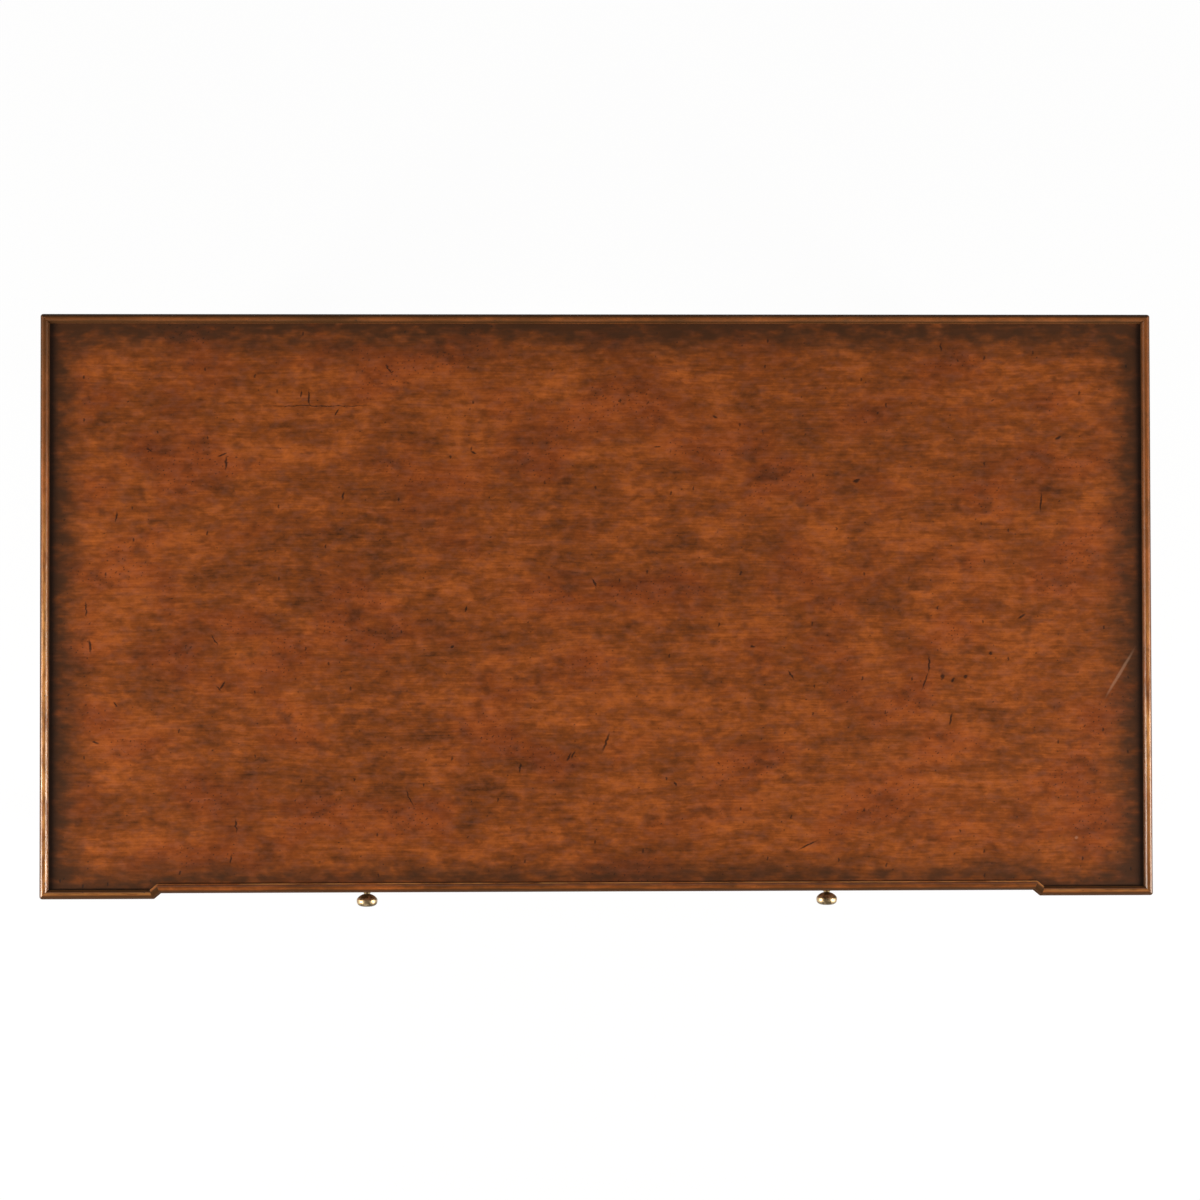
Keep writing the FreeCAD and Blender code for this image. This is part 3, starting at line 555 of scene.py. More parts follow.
def aged_brass(metals):
    """Finish of the turned brass: olive in the hollows, brighter where it is rubbed."""
    paint = new_paint("aged_brass")
    place = paint.place()
    bloom = paint.pattern("bloom", place)
    pitting = paint.pattern("pitting", place) - 0.5
    # A knob's tone also carries the painted shade on its face
    bright = (bloom + pitting * 0.4 + paint.attribute("tone", "Fac") * 0.3).step(0.36, 0.64)
    return paint.surface(
        base_color=paint.mix(bright, metals.aged_and_shaded, metals.brass),
        metallic=0.85,
        roughness=0.46 - bright * 0.08 + pitting * 0.1,
        normal=paint.bump(bloom, 0.12 * mm),
    )


def screw_steel(metals):
    """Finish of the screws: drawn steel with fine scratches."""
    paint = new_paint("screw_steel")
    scratches = paint.pattern("scratches", paint.place())
    dull = tuple(channel * 0.6 for channel in metals.steel)
    return paint.surface(
        base_color=paint.mix(scratches.step(0.35, 0.65), dull, metals.steel),
        metallic=1.0,
        roughness=0.38 + (scratches - 0.5) * 0.2,
        normal=paint.bump(scratches, 0.05 * mm),
    )


def frame_finish(table):
    """Finish that the pieces of the frame share, made when the first of them asks for it."""
    made = bpy.data.materials.get("antiqued_frame")
    return made or antiqued_frame("antiqued_frame", table.wood, table.wood.frame_thinning)


# Shapes

# Corners of a square about the middle, in the order in which a section runs
square = np.array([(-1, -1), (1, -1), (1, 1), (-1, 1)], float)

# How far a piece's place in the grain moves with its seed, so that no two pieces look alike
run_shift = np.array((0.7, 0.13, 0.13))
post_shift = np.array((0.7, 0.2, 0))

# How far the place of all turned pieces in the grain is moved
turned_shift = 50 * mm

# Knocks on worn crests: their least and largest width, and one is due in each gap along a run or a post
knock_widths = (1.5 * mm, 5 * mm)
run_knock_gap = 60 * mm
post_knock_gap = 50 * mm


def limits(node):
    """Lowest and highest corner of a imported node, as arrays."""
    low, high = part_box(node)
    return np.array(low), np.array(high)


def together(*parts):
    """Points put together from arrays of their parts."""
    return np.stack(np.broadcast_arrays(*parts), axis=-1)


def bell(values, middle, reach, power=2):
    """Bell curve that is 1 at its middle and 1/e a reach away. A higher even power flattens its top."""
    return np.exp(-(((values - middle) / reach) ** power))


def spaced(tones, count):
    """Tones at a count of even places on a stretch over which the given ones are evenly spaced."""
    return np.interp(np.linspace(0, 1, count), np.linspace(0, 1, len(tones)), tones)


def joined(parts):
    """Points and tones of a profile made of parts, each its points and its tone or tones."""
    points = [np.array(part, float) for part, tone in parts]
    tones = [np.broadcast_to(tone, len(part)) for part, tone in parts]
    return np.concatenate(points), np.concatenate(tones)


def tube_faces(rings):
    """Faces of the tube through rings of points: quads from ring to ring, and a flat face on each end ring.

    The quads' share of six times the volume about the middle is summed, and if it is negative all faces turn
    round.
    """
    count, sides = rings.shape[:2]
    ring_starts = np.arange(count - 1)[:, None] * sides
    first = ring_starts + np.arange(sides)
    beside = ring_starts + np.roll(np.arange(sides), -1)
    quads = together(first, beside, beside + sides, first + sides).reshape(-1, 4)
    caps = [np.arange(sides)[::-1], np.arange(sides) + (count - 1) * sides]
    flat = rings.reshape(-1, 3) - rings.reshape(-1, 3).mean(axis=0)
    a, b, c, d = (flat[quads[:, corner]] for corner in range(4))
    inside = np.sum(a * np.cross(b, c)) + np.sum(a * np.cross(c, d))
    way = 1 if inside > 0 else -1
    return [face[::way].tolist() for face in quads] + [cap[::way].tolist() for cap in caps]


def add_mesh(name, points, faces, numbers):
    """New object from points and faces, with numbers on its points as attributes of one or three parts."""
    mesh = bpy.data.meshes.new(name)
    mesh.from_pydata(points.tolist(), [], faces)
    for key, values in numbers.items():
        kind, field = ("FLOAT_VECTOR", "vector") if values.ndim > 1 else ("FLOAT", "value")
        mesh.attributes.new(key, kind, "POINT").data.foreach_set(field, values.astype(np.float32).ravel())
    mesh.shade_smooth()
    made = bpy.data.objects.new(name, mesh)
    bpy.context.scene.collection.objects.link(made)
    return made


def add_tubes(node, finish, tubes, body="table"):
    """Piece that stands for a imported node, made of closed tubes. A tube is its rings, tone and grain."""
    points, faces, tones, grains = [], [], [], []
    for rings, tone, grain in tubes:
        start = sum(len(part) for part in points)
        faces += [[corner + start for corner in face] for face in tube_faces(rings)]
        points.append(rings.reshape(-1, 3))
        tones.append(np.broadcast_to(tone, rings.shape[:2]).ravel())
        grains.append(grain.reshape(-1, 3))
    numbers = {"tone": np.concatenate(tones), "grain": np.concatenate(grains)}
    made = add_mesh(node + "_worked", np.concatenate(points), faces, numbers)
    made.data.materials.append(finish)
    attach(made, body)
    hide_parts(node)
    return made


def bare_side(made, finish, way):
    """Gives the faces of a piece that look along way another finish, as a board's unpolished side has."""
    made.data.materials.append(finish)
    facing = np.empty(3 * len(made.data.polygons), np.float32)
    made.data.polygons.foreach_get("normal", facing)
    bare = facing.reshape(-1, 3) @ np.array(way) > 0.95
    made.data.polygons.foreach_set("material_index", bare.astype(np.int32))


def softened(corners, radius, margin):
    """Outline with its corners rounded. The last two axes of corners are the corners and their parts.

    Each corner becomes a quadratic curve from a point a radius before it to one a radius after it, pulled
    towards the corner, with one more point a margin outside each end. Returns the points, and 1 on curves
    and 0 elsewhere.
    """
    steps = 4
    before = np.roll(corners, 1, axis=-2) - corners
    after = np.roll(corners, -1, axis=-2) - corners
    before /= np.linalg.norm(before, axis=-1, keepdims=True)
    after /= np.linalg.norm(after, axis=-1, keepdims=True)
    along = np.linspace(0, 1, steps)[:, None]
    start = (corners + radius * before)[..., None, :]
    end = (corners + radius * after)[..., None, :]
    curve = (1 - along) ** 2 * start + 2 * along * (1 - along) * corners[..., None, :] + along**2 * end
    outer = [start + margin * before[..., None, :], curve, end + margin * after[..., None, :]]
    points = np.concatenate(outer, axis=-2)
    crest = np.concatenate(([0], np.ones(steps), [0]))
    return points.reshape(*corners.shape[:-2], -1, 2), np.tile(crest, corners.shape[-2])


def outward(section):
    """Unit normals of a closed section, square to the line from the point before to the point after."""
    chord = np.roll(section, -1, axis=0) - np.roll(section, 1, axis=0)
    normal = together(chord[:, 1], -chord[:, 0])
    normal /= np.maximum(np.linalg.norm(normal, axis=-1, keepdims=True), 1e-9)
    after = np.roll(section, -1, axis=0)
    around = np.sum(section[:, 0] * after[:, 1] - section[:, 1] * after[:, 0])
    return normal * np.sign(around)


def stations(span, spacing, arris, radius):
    """Places along a run of a span and how far its section draws in there, for softened ends.

    Places are a spacing apart, and closer over a plan corner's radius. The section draws in by a quarter
    circle of the arris radius at both ends.
    """
    turn = np.linspace(math.pi / 2, 0, 4)
    lead = arris * (1 - np.sin(turn))
    corner = np.linspace(0, radius, 9)[2:] if radius else lead[:0]
    first = max(2 * arris, 1.2 * radius)
    middle = np.linspace(first, span - first, max(2, int(span / spacing)))
    near = np.concatenate((lead, corner))
    places = np.concatenate((near, middle, span - near[::-1]))
    draws = np.zeros(len(places))
    draws[: len(turn)] = arris * (1 - np.cos(turn))
    return places, np.maximum(draws, draws[::-1])


def rounded(distance, travel, radius):
    """Distances inwards near a square plan corner of a radius.

    A line that runs a distance inside the outline follows the circle about the corner's centre whose radius
    is the corner's less that distance.
    """
    ring = np.maximum(radius - distance, 0)
    left = np.clip(radius - travel, 0, ring)
    return distance + ring - np.sqrt(ring**2 - left**2)


def knocked(places, seed, deepest, gap):
    """Depth of random knocks at places along a run: a sum of short bell curves, about one per gap."""
    random = np.random.default_rng(seed)
    count = max(1, int((places[-1] - places[0]) / gap))
    middles = random.uniform(places[0], places[-1], count)
    widths = random.uniform(*knock_widths, count)
    depths = deepest * random.uniform(0, 1, count) ** 2
    return np.sum(depths * bell(places[:, None], middles, widths), axis=1)


def run(
    section, tone, start, way, across, up, span,
    cuts=(0, 0), radii=(0, 0), arris=0.3 * mm, seed=0, dent=0, spacing=40 * mm,
):
    """Tube of a section carried straight from start along way for a span, for add_tubes.

    A section point (u, v) lies at start + u * across + v * up. cuts gives how far each section point's run
    begins after the start and ends before the span, so an end can be mitred, and radii rounds square plan
    corners there. Crests, where tone is over 0, take knocks.
    """
    way, across, up = (np.array(axis, float) for axis in (way, across, up))
    places, draws = stations(span, spacing, arris, max(radii))
    knocks = knocked(places, seed, dent, run_knock_gap)[:, None] * np.maximum(tone, 0)
    depth = draws[:, None] + knocks
    first, last = (np.broadcast_to(cut, len(section)) for cut in cuts)
    travel = first + (places[:, None] / span) * (span - first - last)
    inwards = rounded(rounded(section[:, 0], travel, radii[0]), span - travel, radii[1])
    shape = together(inwards, section[:, 1])
    shape -= depth[..., None] * outward(section)
    points = np.array(start) + travel[..., None] * way + shape[..., :1] * across + shape[..., 1:] * up
    grain = np.concatenate((travel[..., None], shape), axis=-1) + seed * run_shift
    return points, tone, grain


def post(places, halves, middle, arris, seed, dent):
    """Upright square tube with rounded corners, for add_tubes: half widths at places above a middle."""
    shape, tone = softened(halves[:, None, None] * square, arris, margin=3 * mm)
    pull = knocked(places, seed, dent, post_knock_gap)[:, None] * tone
    shape -= pull[..., None] * np.sign(shape)
    points = together(shape[..., 0] + middle[0], shape[..., 1] + middle[1], places[:, None])
    grain = together(points[..., 2], shape[..., 0], shape[..., 1]) + seed * post_shift
    return points, tone, grain


def board(low, high, axis, arris, seed):
    """Board between two corners with softened arrises, whose grain runs along an axis, for add_tubes."""
    others = [other for other in range(3) if other != axis]
    middle = (low[others] + high[others]) / 2
    half = (high[others] - low[others]) / 2
    section, tone = softened(middle + half * square, arris, margin=2.5 * mm)
    way, across, up = np.eye(3)[[axis, *others]]
    return run(section, tone * 0.8, way * low[axis], way, across, up, high[axis] - low[axis], seed=seed)


def turned(profile, middle, way, sides):
    """Round tube for add_tubes. profile holds distances along way from the middle, and radii there."""
    way = np.array(way, float)
    side = np.array((way[1], way[2], way[0]))
    other = np.cross(way, side)
    angle = np.linspace(0, 2 * math.pi, sides, endpoint=False)[:, None]
    spoke = np.cos(angle) * side + np.sin(angle) * other
    rings = np.array(middle) + profile[:, :1, None] * way + profile[:, 1:, None] * spoke
    return rings, 0, rings + turned_shift


def bent_arc(middle, radii, start, end, steps):
    """Points on an ellipse about a middle, from one angle in degrees to another."""
    angle = np.radians(np.linspace(start, end, steps))
    return np.array(middle) + together(radii[0] * np.cos(angle), radii[1] * np.sin(angle))


def nosed(start, nose, end):
    """Section of a round-nosed strip: its nose between its back corners, and tones with a crest there."""
    crest = np.sin(np.linspace(0, math.pi, len(nose)))
    return joined([([start], 0), (nose, crest), ([end], 0)])


# Plan of the top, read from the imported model

side_edge = limits("edge_right")[1][0]
back_edge = limits("edge_back")[1][1]
block_edge = limits("edge_block_right")[0][1]
recess_edge = limits("edge_front")[0][1]
block_inner = limits("edge_block_right")[0][0]
recess_end = limits("edge_cant_right")[0][0]
edge_low = limits("edge_back")[0][2]
rim = limits("edge_back")[1][2]
plan = np.array([
    (-side_edge, block_edge),
    (-block_inner, block_edge),
    (-recess_end, recess_edge),
    (recess_end, recess_edge),
    (block_inner, block_edge),
    (side_edge, block_edge),
    (side_edge, back_edge),
    (-side_edge, back_edge),
])

# Lengths of the moulded edge, each from its point of the plan to the next
edge_nodes = (
    "edge_block_left", "edge_cant_left", "edge_front", "edge_cant_right",
    "edge_block_right", "edge_right", "edge_back", "edge_left",
)

# Faces of the legs towards each other, and the outer faces that show pegs
leg_front_inner = limits("leg_front_right")[1][1]
leg_back_inner = limits("leg_back_right")[0][1]
leg_side_inner = limits("leg_back_right")[0][0]
leg_side_outer = limits("leg_front_right")[1][0]
leg_back_outer = limits("leg_back_right")[1][1]

# Half the drawer's opening between the end blocks, and the cants' run along X for each step in Y
opening = min(abs(limits("front_block_right")[0][0]), abs(limits("front_block_left")[1][0]))
cant_slope = (block_inner - recess_end) / (recess_edge - block_edge)

# Tones of the nosing from its bottom to its top. Glaze has collected where a tone is -1 or less, and the
# wood is rubbed where it is 1 or more
# The darkening towards the nosing's top, under the shoulder, is partly glaze and partly painted shade
nosing_tones = (0.3, 0.3, 0.2, 0.1, 0, -0.2, -0.7, -1.4, -1.8)

# Tones of each length: of the bead from its outer to its inner foot, then of the fillet and the inner wall
# The dark outer foot of every bead is partly glaze and partly painted shade along the top's outline
side_tones = ((-1.4, -0.6, 0.8, 1, 0.95, 0.7, 0.3), (0.1, -0.8))
# The cants' beads are darker along their length; the light tone of their fillet is a painted highlight
cant_tones = ((-1.6, -1.5, -1.2, -1, -0.8, 0.1, 0.4), (0.6, -0.6))
edge_tones = {
    "edge_left": side_tones,
    "edge_right": side_tones,
    "edge_back": ((-1.5, -1.3, -0.3, 0.25, 0, -0.4, -0.6), (-0.6, 0)),
    # Painted light: the front length's light fillet and inner wall, against the shade of its bead
    "edge_front": ((-1.5, -1.3, -0.4, 0.3, 0.2, 0.2, 0.3), (0.6, 0.6)),
    "edge_cant_left": cant_tones,
    "edge_cant_right": cant_tones,
    "others": ((-1.6, -1.5, -0.7, 0.5, 0.65, 0, -0.8), (-1, -0.6)),
}

# How worn the sides are at even places from front to back, and the back from left to right
edge_wear = {
    "edge_left": (2.8, 2.3, 1.7, 0.9, 0.5, 0.1, 0),
    "edge_right": (0.4, 0.5, 1.3, 0.4, 0.25, 0.15, 0.15),
    "edge_back": (0, 0, 0.2, 1, 1),
}

# Edges of the top that turn by more degrees than this stay sharp
sharp_angle = 40

# Burnt bands along the sides of the top: their width and strength
burnt_bands = {
    "left": (52 * mm, 1),
    "right": (62 * mm, 0.97),
    "back": (54 * mm, 1),
    "front": (40 * mm, 0.81),
}

# Camera of the photograph: small angles about X, Y and Z in degrees, its shift from straight above the
# middle, and how high over the edge's underside that middle is
camera_angles = (-1.17, 1.296, 0.116)
camera_shift = (-2.56 * mm, -6.5 * mm)
camera_target = 11 * mm

# Marks that can be made out in the photograph: middle, length and width in its pixels, and angle in degrees
top_marks = (
    ((309, 398), (15, 2), 90),
    ((301, 394), (7, 1.5), 85),
    ((322, 406), (105, 0.9), 0),
    ((226, 463), (13, 2.2), 88),
    ((222, 455), (9, 1.8), 20),
    ((149, 450), (6, 2), -35),
    ((116, 517), (9, 1.8), 85),
    ((389, 369), (10, 2), -50),
    ((474, 452), (6, 2), -20),
    ((343, 496), (9, 2.2), 75),
    ((336, 413), (7, 1.8), 60),
    ((594, 583), (10, 2), -60),
    ((715, 417), (5, 2.6), -25),
    ((657, 447), (7, 1.6), 0),
    ((856, 481), (7, 3.5), 20),
    ((941, 347), (9, 1.6), 88),
    ((1058, 438), (6, 2.6), 25),
    ((1041, 502), (19, 1.8), 85),
    ((90, 646), (13, 2.4), -82),
    ((86, 609), (14, 1.6), -85),
    ((215, 640), (12, 1.6), -65),
    ((223, 685), (8, 2), 60),
    ((219, 688), (6, 1.8), -50),
    ((115, 705), (6, 2), -45),
    ((96, 742), (7, 2.6), -20),
    ((236, 826), (12, 1.8), -80),
    ((231, 859), (8, 1.8), 82),
    ((466, 609), (6, 2), 75),
    ((452, 647), (5, 2.6), 45),
    ((520, 768), (9, 2), 88),
    ((569, 757), (10, 2), 62),
    ((573, 755), (9, 1.8), 62),
    ((410, 798), (18, 1.3), -70),
    ((606, 742), (17, 2.6), 71),
    ((791, 675), (10, 2), -55),
    ((752, 647), (5, 3), 0),
    ((675, 784), (5, 3), -60),
    ((808, 845), (20, 1.6), 25),
    ((1022, 616), (8, 2.4), 30),
    ((991, 653), (5, 3.4), 60),
    ((929, 664), (16, 2), 90),
    ((925, 681), (18, 1.5), 69),
    ((942, 677), (6, 4), 80),
    ((965, 677), (4, 3.4), 0),
    ((953, 680), (4, 2.6), 60),
    ((951, 719), (12, 2), 80),
)

# Pale scratches through the polish, given the same way
pale_marks = (
    ((1120, 673), (50, 3), 59),
    ((1077, 837), (3, 3), 0),
)


def photo_camera(stage):
    """Place and turn of the photograph's camera, as a matrix."""
    turn = Matrix.Identity(3)
    for axis, angle in zip("XYZ", camera_angles):
        turn = turn @ Matrix.Rotation(math.radians(angle), 3, axis)
    shift = Vector((*camera_shift, -stage.camera_height))
    middle = Vector((0, (block_edge + back_edge) / 2, edge_low + camera_target))
    return Matrix.Translation(middle - turn.transposed() @ shift) @ turn.transposed().to_4x4()


def on_panel(stage, marks):
    """Marks in pixels of the photograph as marks on the flat top, where the pixels' rays meet it."""
    camera = photo_camera(stage)
    start = camera.translation
    level = limits("top_panel")[1][2]
    found = []
    for (across, down), size, angle in marks:
        pixels = Vector((across - photo_side / 2, photo_side / 2 - down, -stage.focal_pixels))
        ray = camera.to_3x3() @ pixels
        pixel = (level - start.z) / ray.z
        found.append(((start + ray * pixel).xy, [extent * pixel for extent in size], angle))
    return found


# Pieces of the top


def panel_grid(width):
    """Places on the top inside a moulded edge of a width: columns along X and rows from front to back.

    Row r of column x lies at front(x) + (back - front(x)) * r, where front steps with the end blocks. Both
    lie closer near the sides and at the steps. Returns x, y and the distances from the four sides.
    """
    near = np.cumsum([0, 1, 1.5, 2, 3, 4, 6, 8, 10]) * mm
    half = side_edge - width
    back = back_edge - width
    depth = back - recess_edge - width
    cant_shift = 0.36 * width
    cant = np.array([block_inner, recess_end]) + cant_shift
    across = np.linspace(-half, half, 121)[4:-4]
    columns = np.unique(np.round(np.concatenate((-half + near, half - near, cant, -cant, across)), 5))
    along = np.linspace(0, 1, 61)[3:-3]
    rows = np.unique(np.round(np.concatenate((near / depth, 1 - near / depth, along)), 5))
    front = np.interp(np.abs(columns), cant[::-1], (recess_edge + width, block_edge + width))[:, None]
    x = np.broadcast_to(columns[:, None], (len(columns), len(rows)))
    y = front + (back - front) * rows
    return x, y, {"left": x + half, "right": half - x, "back": back - y, "front": y - front}


def panel_numbers(x, y, sides):
    """How burnt places on the top are, how much they glow and how deep in the corner they lie, from 0 to 1.

    Each side burns a band that fades inwards, and along the front a painted lighter strip cuts the burn
    against the shade that the moulding casts there. Two wide bell curves glow. The corner's painted shadow,
    which also stands for glaze gathered there, is a narrow bell curve along the sides and the end blocks.
    """
    clear = [
        1 - amount * np.clip(1 - sides[side] / band, 0, 1) for side, (band, amount) in burnt_bands.items()
    ]
    # Painted light: a lighter strip along the recessed front, against the shade that the moulding casts
    painted_light_strength = 0.45
    painted_light_reach = 4 * mm
    painted_light_strip = np.where(np.abs(x) < recess_end, painted_light_strength * bell(sides["front"], 0, painted_light_reach), 0)
    burnt = (1 - np.prod(clear, axis=0)) * (1 - painted_light_strip)
    left_glow = bell(sides["left"], 72 * mm, reach=34 * mm) * bell(y, 20 * mm, reach=230 * mm, power=4)
    right_glow = bell(x, 440 * mm, reach=140 * mm) * bell(y, -200 * mm, reach=100 * mm)
    hardly = 0.01 * mm
    front_reach = np.where(np.abs(x) > block_inner, 1.2 * mm, hardly)
    reaches = {"left": 8 * mm, "right": 7.2 * mm, "front": front_reach}
    shadow = np.max([bell(sides[side], 0, reach, power=4) for side, reach in reaches.items()], axis=0)
    return burnt, left_glow + right_glow, shadow


def build_panel(edge, finish, bare):
    """Flat board inside the moulded edge, bare underneath.

    The top dips in slow waves, the product of two sines plus a third sine, that die away towards the edge.
    """
    dip = 0.3 * mm
    calm_band = 30 * mm
    low, high = limits("top_panel")
    x, y, sides = panel_grid(edge.shoulder + edge.bead + edge.fillet)
    burnt, glow, shadow = panel_numbers(x, y, sides)
    nearest = np.min(list(sides.values()), axis=0)
    wave = 0.5 + 0.25 * np.sin(x * 21 + 0.4) * np.sin(y * 27 + 1) + 0.25 * np.sin(x * 9 - y * 13)
    level = high[2] - dip * wave * np.clip(nearest / calm_band, 0, 1)
    top = together(x, y, level).reshape(-1, 3)
    bottom = together(x, y, low[2]).reshape(-1, 3)
    count = len(top)
    index = np.arange(count).reshape(x.shape)
    quads = together(index[:-1, :-1], index[1:, :-1], index[1:, 1:], index[:-1, 1:]).reshape(-1, 4)
    loop = np.concatenate((index[:, 0], index[-1, 1:], index[-2::-1, -1], index[0, -2:0:-1]))
    after = np.roll(loop, -1)
    walls = together(loop, loop + count, after + count, after)
    faces = np.concatenate((quads, quads[:, ::-1] + count, walls)).tolist()
    numbers = {
        "edge": np.tile(burnt.ravel(), 2),
        "glow": np.tile(glow.ravel(), 2),
        # corner: painted shade, with glaze, close under the moulded edge
        "corner": np.concatenate((shadow.ravel(), np.zeros(count))),
    }
    made = add_mesh("top_panel_worked", np.concatenate((top, bottom)), faces, numbers)
    made.data.set_sharp_from_angle(angle=math.radians(sharp_angle))
    made.data.materials.append(finish)
    bare_side(made, bare, (0, 0, -1))
    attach(made, "table")
    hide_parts("top_panel")


def edge_section(edge, bead_tones, inner_tones):
    """Section of the moulded edge as distances from the outside and heights, with tones.

    The bead is an arc of a circle over its chord, and the nosing is a flat arc. Points run from the foot
    outside, up and over, to the foot inside. bead_tones are evenly spaced over the bead from its outer to
    its inner foot, and inner_tones are those of the fillet and the inner wall.
    """
    height = rim - edge_low
    foot = edge.foot_inset
    foot_top = edge.foot_height
    bulge = edge.nosing_bulge
    bead_end = edge.shoulder + edge.bead
    width = bead_end + edge.fillet
    nosing_top = height - edge.nosing_drop
    nosing_middle = (nosing_top + foot_top) / 2
    nosing_half = (nosing_top - foot_top) / 2
    bead_low = height - edge.bead_rise
    radius = (edge.bead**2 / 4 + edge.bead_rise**2) / (2 * edge.bead_rise)
    spread = math.degrees(math.asin(edge.bead / 2 / radius))
    bead_middle = (edge.shoulder + edge.bead / 2, height - radius)
    bead = bent_arc(bead_middle, (radius, radius), 90 + spread, 90 - spread, 19)
    soft = 0.3 * mm
    rise = math.degrees(math.acos(min(1, soft / nosing_half)))
    nosing = bent_arc((bulge, nosing_middle), (bulge, nosing_half), 180 + rise, 180 - rise, 9)
    wall = [(width, bead_low - soft), (width, bead_low - 2 * mm), (width, 3 * mm), (width, 0)]
    return joined([
        ([(foot, 0), (foot, foot_top - soft)], 0),
        ([(foot, foot_top), (bulge + soft, foot_top)], -0.5),
        (nosing, spaced(nosing_tones, len(nosing))),
        ([(bulge + soft, nosing_top)], -1),
        ([(edge.shoulder - soft, nosing_top), (edge.shoulder, nosing_top + soft)], -1),
        (bead, spaced(bead_tones, len(bead))),
        ([(bead_end + soft, bead_low), (width - soft, bead_low)], inner_tones[0]),
        (wall, inner_tones[1]),
    ])


def worn(tone, rings, wear, axis):
    """Tone of a length whose crests are as bright as its wear, given at even places along an axis.

    Where it is hardly worn at all, more of the glaze is left.
    """
    ends = plan[:, axis].min(), plan[:, axis].max()
    amount = np.interp(rings[..., axis], np.linspace(*ends, len(wear)), wear)
    return np.minimum(tone, 0) + np.maximum(tone, 0) * amount - 0.6 * np.maximum(0.35 - amount, 0)


def build_edge(edge, finish, front_finish):
    """Eight lengths of the moulded edge, mitred where the outline turns.

    At a corner between two lengths the mitre moves along by the section's distance inwards times
    (n . d) / (1 + n . m), where d is the length's direction and n and m are the two inward normals. Square
    corners are worn round in plan, so a line's mitre lies on the circle that it follows there.
    """
    ahead = np.roll(plan, -1, axis=0) - plan
    spans = np.linalg.norm(ahead, axis=1)
    ways = ahead / spans[:, None]
    inward = together(-ways[:, 1], ways[:, 0])
    for index, node in enumerate(edge_nodes):
        section, tone = edge_section(edge, *edge_tones.get(node, edge_tones["others"]))
        before, here, after = inward[index - 1], inward[index], inward[(index + 1) % len(plan)]
        cuts, radii = [], []
        for other, sign in ((before, 1), (after, -1)):
            radius = edge.corner if abs(np.dot(other, here)) < 0.01 else 0
            reach = section[:, 0] + np.maximum(radius - section[:, 0], 0) * (1 - math.sqrt(0.5))
            cuts.append(reach * np.dot(other, sign * ways[index]) / (1 + np.dot(other, here)))
            radii.append(radius)
        rings, tone, grain = run(
            section, tone, (*plan[index], edge_low), (*ways[index], 0), (*here, 0), (0, 0, 1), spans[index],
            cuts, radii, arris=0.15 * mm, seed=index + 1, dent=edge.dent, spacing=2.5 * mm,
        )
        if node in edge_wear:
            tone = worn(tone, rings, edge_wear[node], 0 if node == "edge_back" else 1)
        add_tubes(node, front_finish if node == "edge_front" else finish, [(rings, tone, grain)])


# Pieces of the frame


def leg_outline(leg, low, high):
    """Levels of a leg between its lowest and its highest corner, and half its width there.

    The width goes in straight lines between foot, ankle, knee, neck and post, and each turn is softened by
    averaging over a short height. Levels lie closer near the turns.
    """
    neck_top = limits("lower_bead_left")[0][2]
    ankle_top = leg.foot_height + leg.ankle_slope
    post_size = high[0] - low[0]
    soft = 0.8 * mm
    turns = (low[2], leg.foot_height, ankle_top, neck_top - leg.neck, neck_top, high[2])
    sizes = (leg.foot_bottom, leg.foot_top, leg.ankle, leg.knee, post_size, post_size)
    near = np.array(turns)[:, None] + np.linspace(-3, 3, 13) * mm
    even = np.arange(low[2], high[2], 4 * mm)
    levels = np.unique(np.round(np.concatenate((near.ravel(), even)), 5))
    levels = levels[(levels >= low[2]) & (levels <= high[2])]
    halves = np.mean([np.interp(levels + shift, turns, sizes) for shift in (-soft, 0, soft)], axis=0) / 2
    halves[[0, -1]] -= 0.4 * mm
    return levels, halves


def build_legs(leg, finish):
    """Four square tapering legs with spade feet."""
    for row, first_seed in (("front", 20), ("back", 30)):
        for seed, hand in enumerate(("left", "right"), start=first_seed):
            node = f"leg_{row}_{hand}"
            low, high = limits(node)
            middle = (low[:2] + high[:2]) / 2
            tube = post(*leg_outline(leg, low, high), middle, leg.arris, seed, dent=0.8 * mm)
            add_tubes(node, finish, [tube])


def build_aprons(frieze, finish, bare_along_x, bare_along_y):
    """Boards between the legs at both sides and the back, bare inside."""
    spans = {
        "left_apron": (1, leg_front_inner, leg_back_inner, (1, 0, 0), bare_along_y),
        "right_apron": (1, leg_front_inner, leg_back_inner, (-1, 0, 0), bare_along_y),
        "back_apron": (0, -leg_side_inner, leg_side_inner, (0, -1, 0), bare_along_x),
    }
    for seed, (node, (axis, start, end, inside, bare)) in enumerate(spans.items(), start=40):
        low, high = limits(node)
        low[axis], high[axis] = start, end
        made = add_tubes(node, finish, [board(low, high, axis, frieze.arris, seed)])
        bare_side(made, bare, inside)


def build_blocks(frieze, finish):
    """End blocks of the stepped front, upright, with a canted return beside the drawer."""
    step = recess_edge - block_edge
    cant = block_inner - recess_end
    for seed, (hand, side) in enumerate((("left", -1), ("right", 1)), start=50):
        node = "front_block_" + hand
        low, high = limits(node)
        leg_face = abs(limits("leg_front_" + hand)[1 if side < 0 else 0][0])
        inner = min(abs(low[0]), abs(high[0]))
        corners = np.array([
            (side * inner, low[1] + step),
            (side * (inner + cant), low[1]),
            (side * leg_face, low[1]),
            (side * leg_face, high[1]),
            (side * inner, high[1]),
        ])
        section, tone = softened(corners, frieze.arris, margin=1.2 * mm)
        tube = run(
            section, tone, (0, 0, low[2]), (0, 0, 1), (1, 0, 0), (0, 1, 0), high[2] - low[2],
            arris=0.5 * mm, seed=seed, spacing=12 * mm,
        )
        add_tubes(node, finish, [tube])


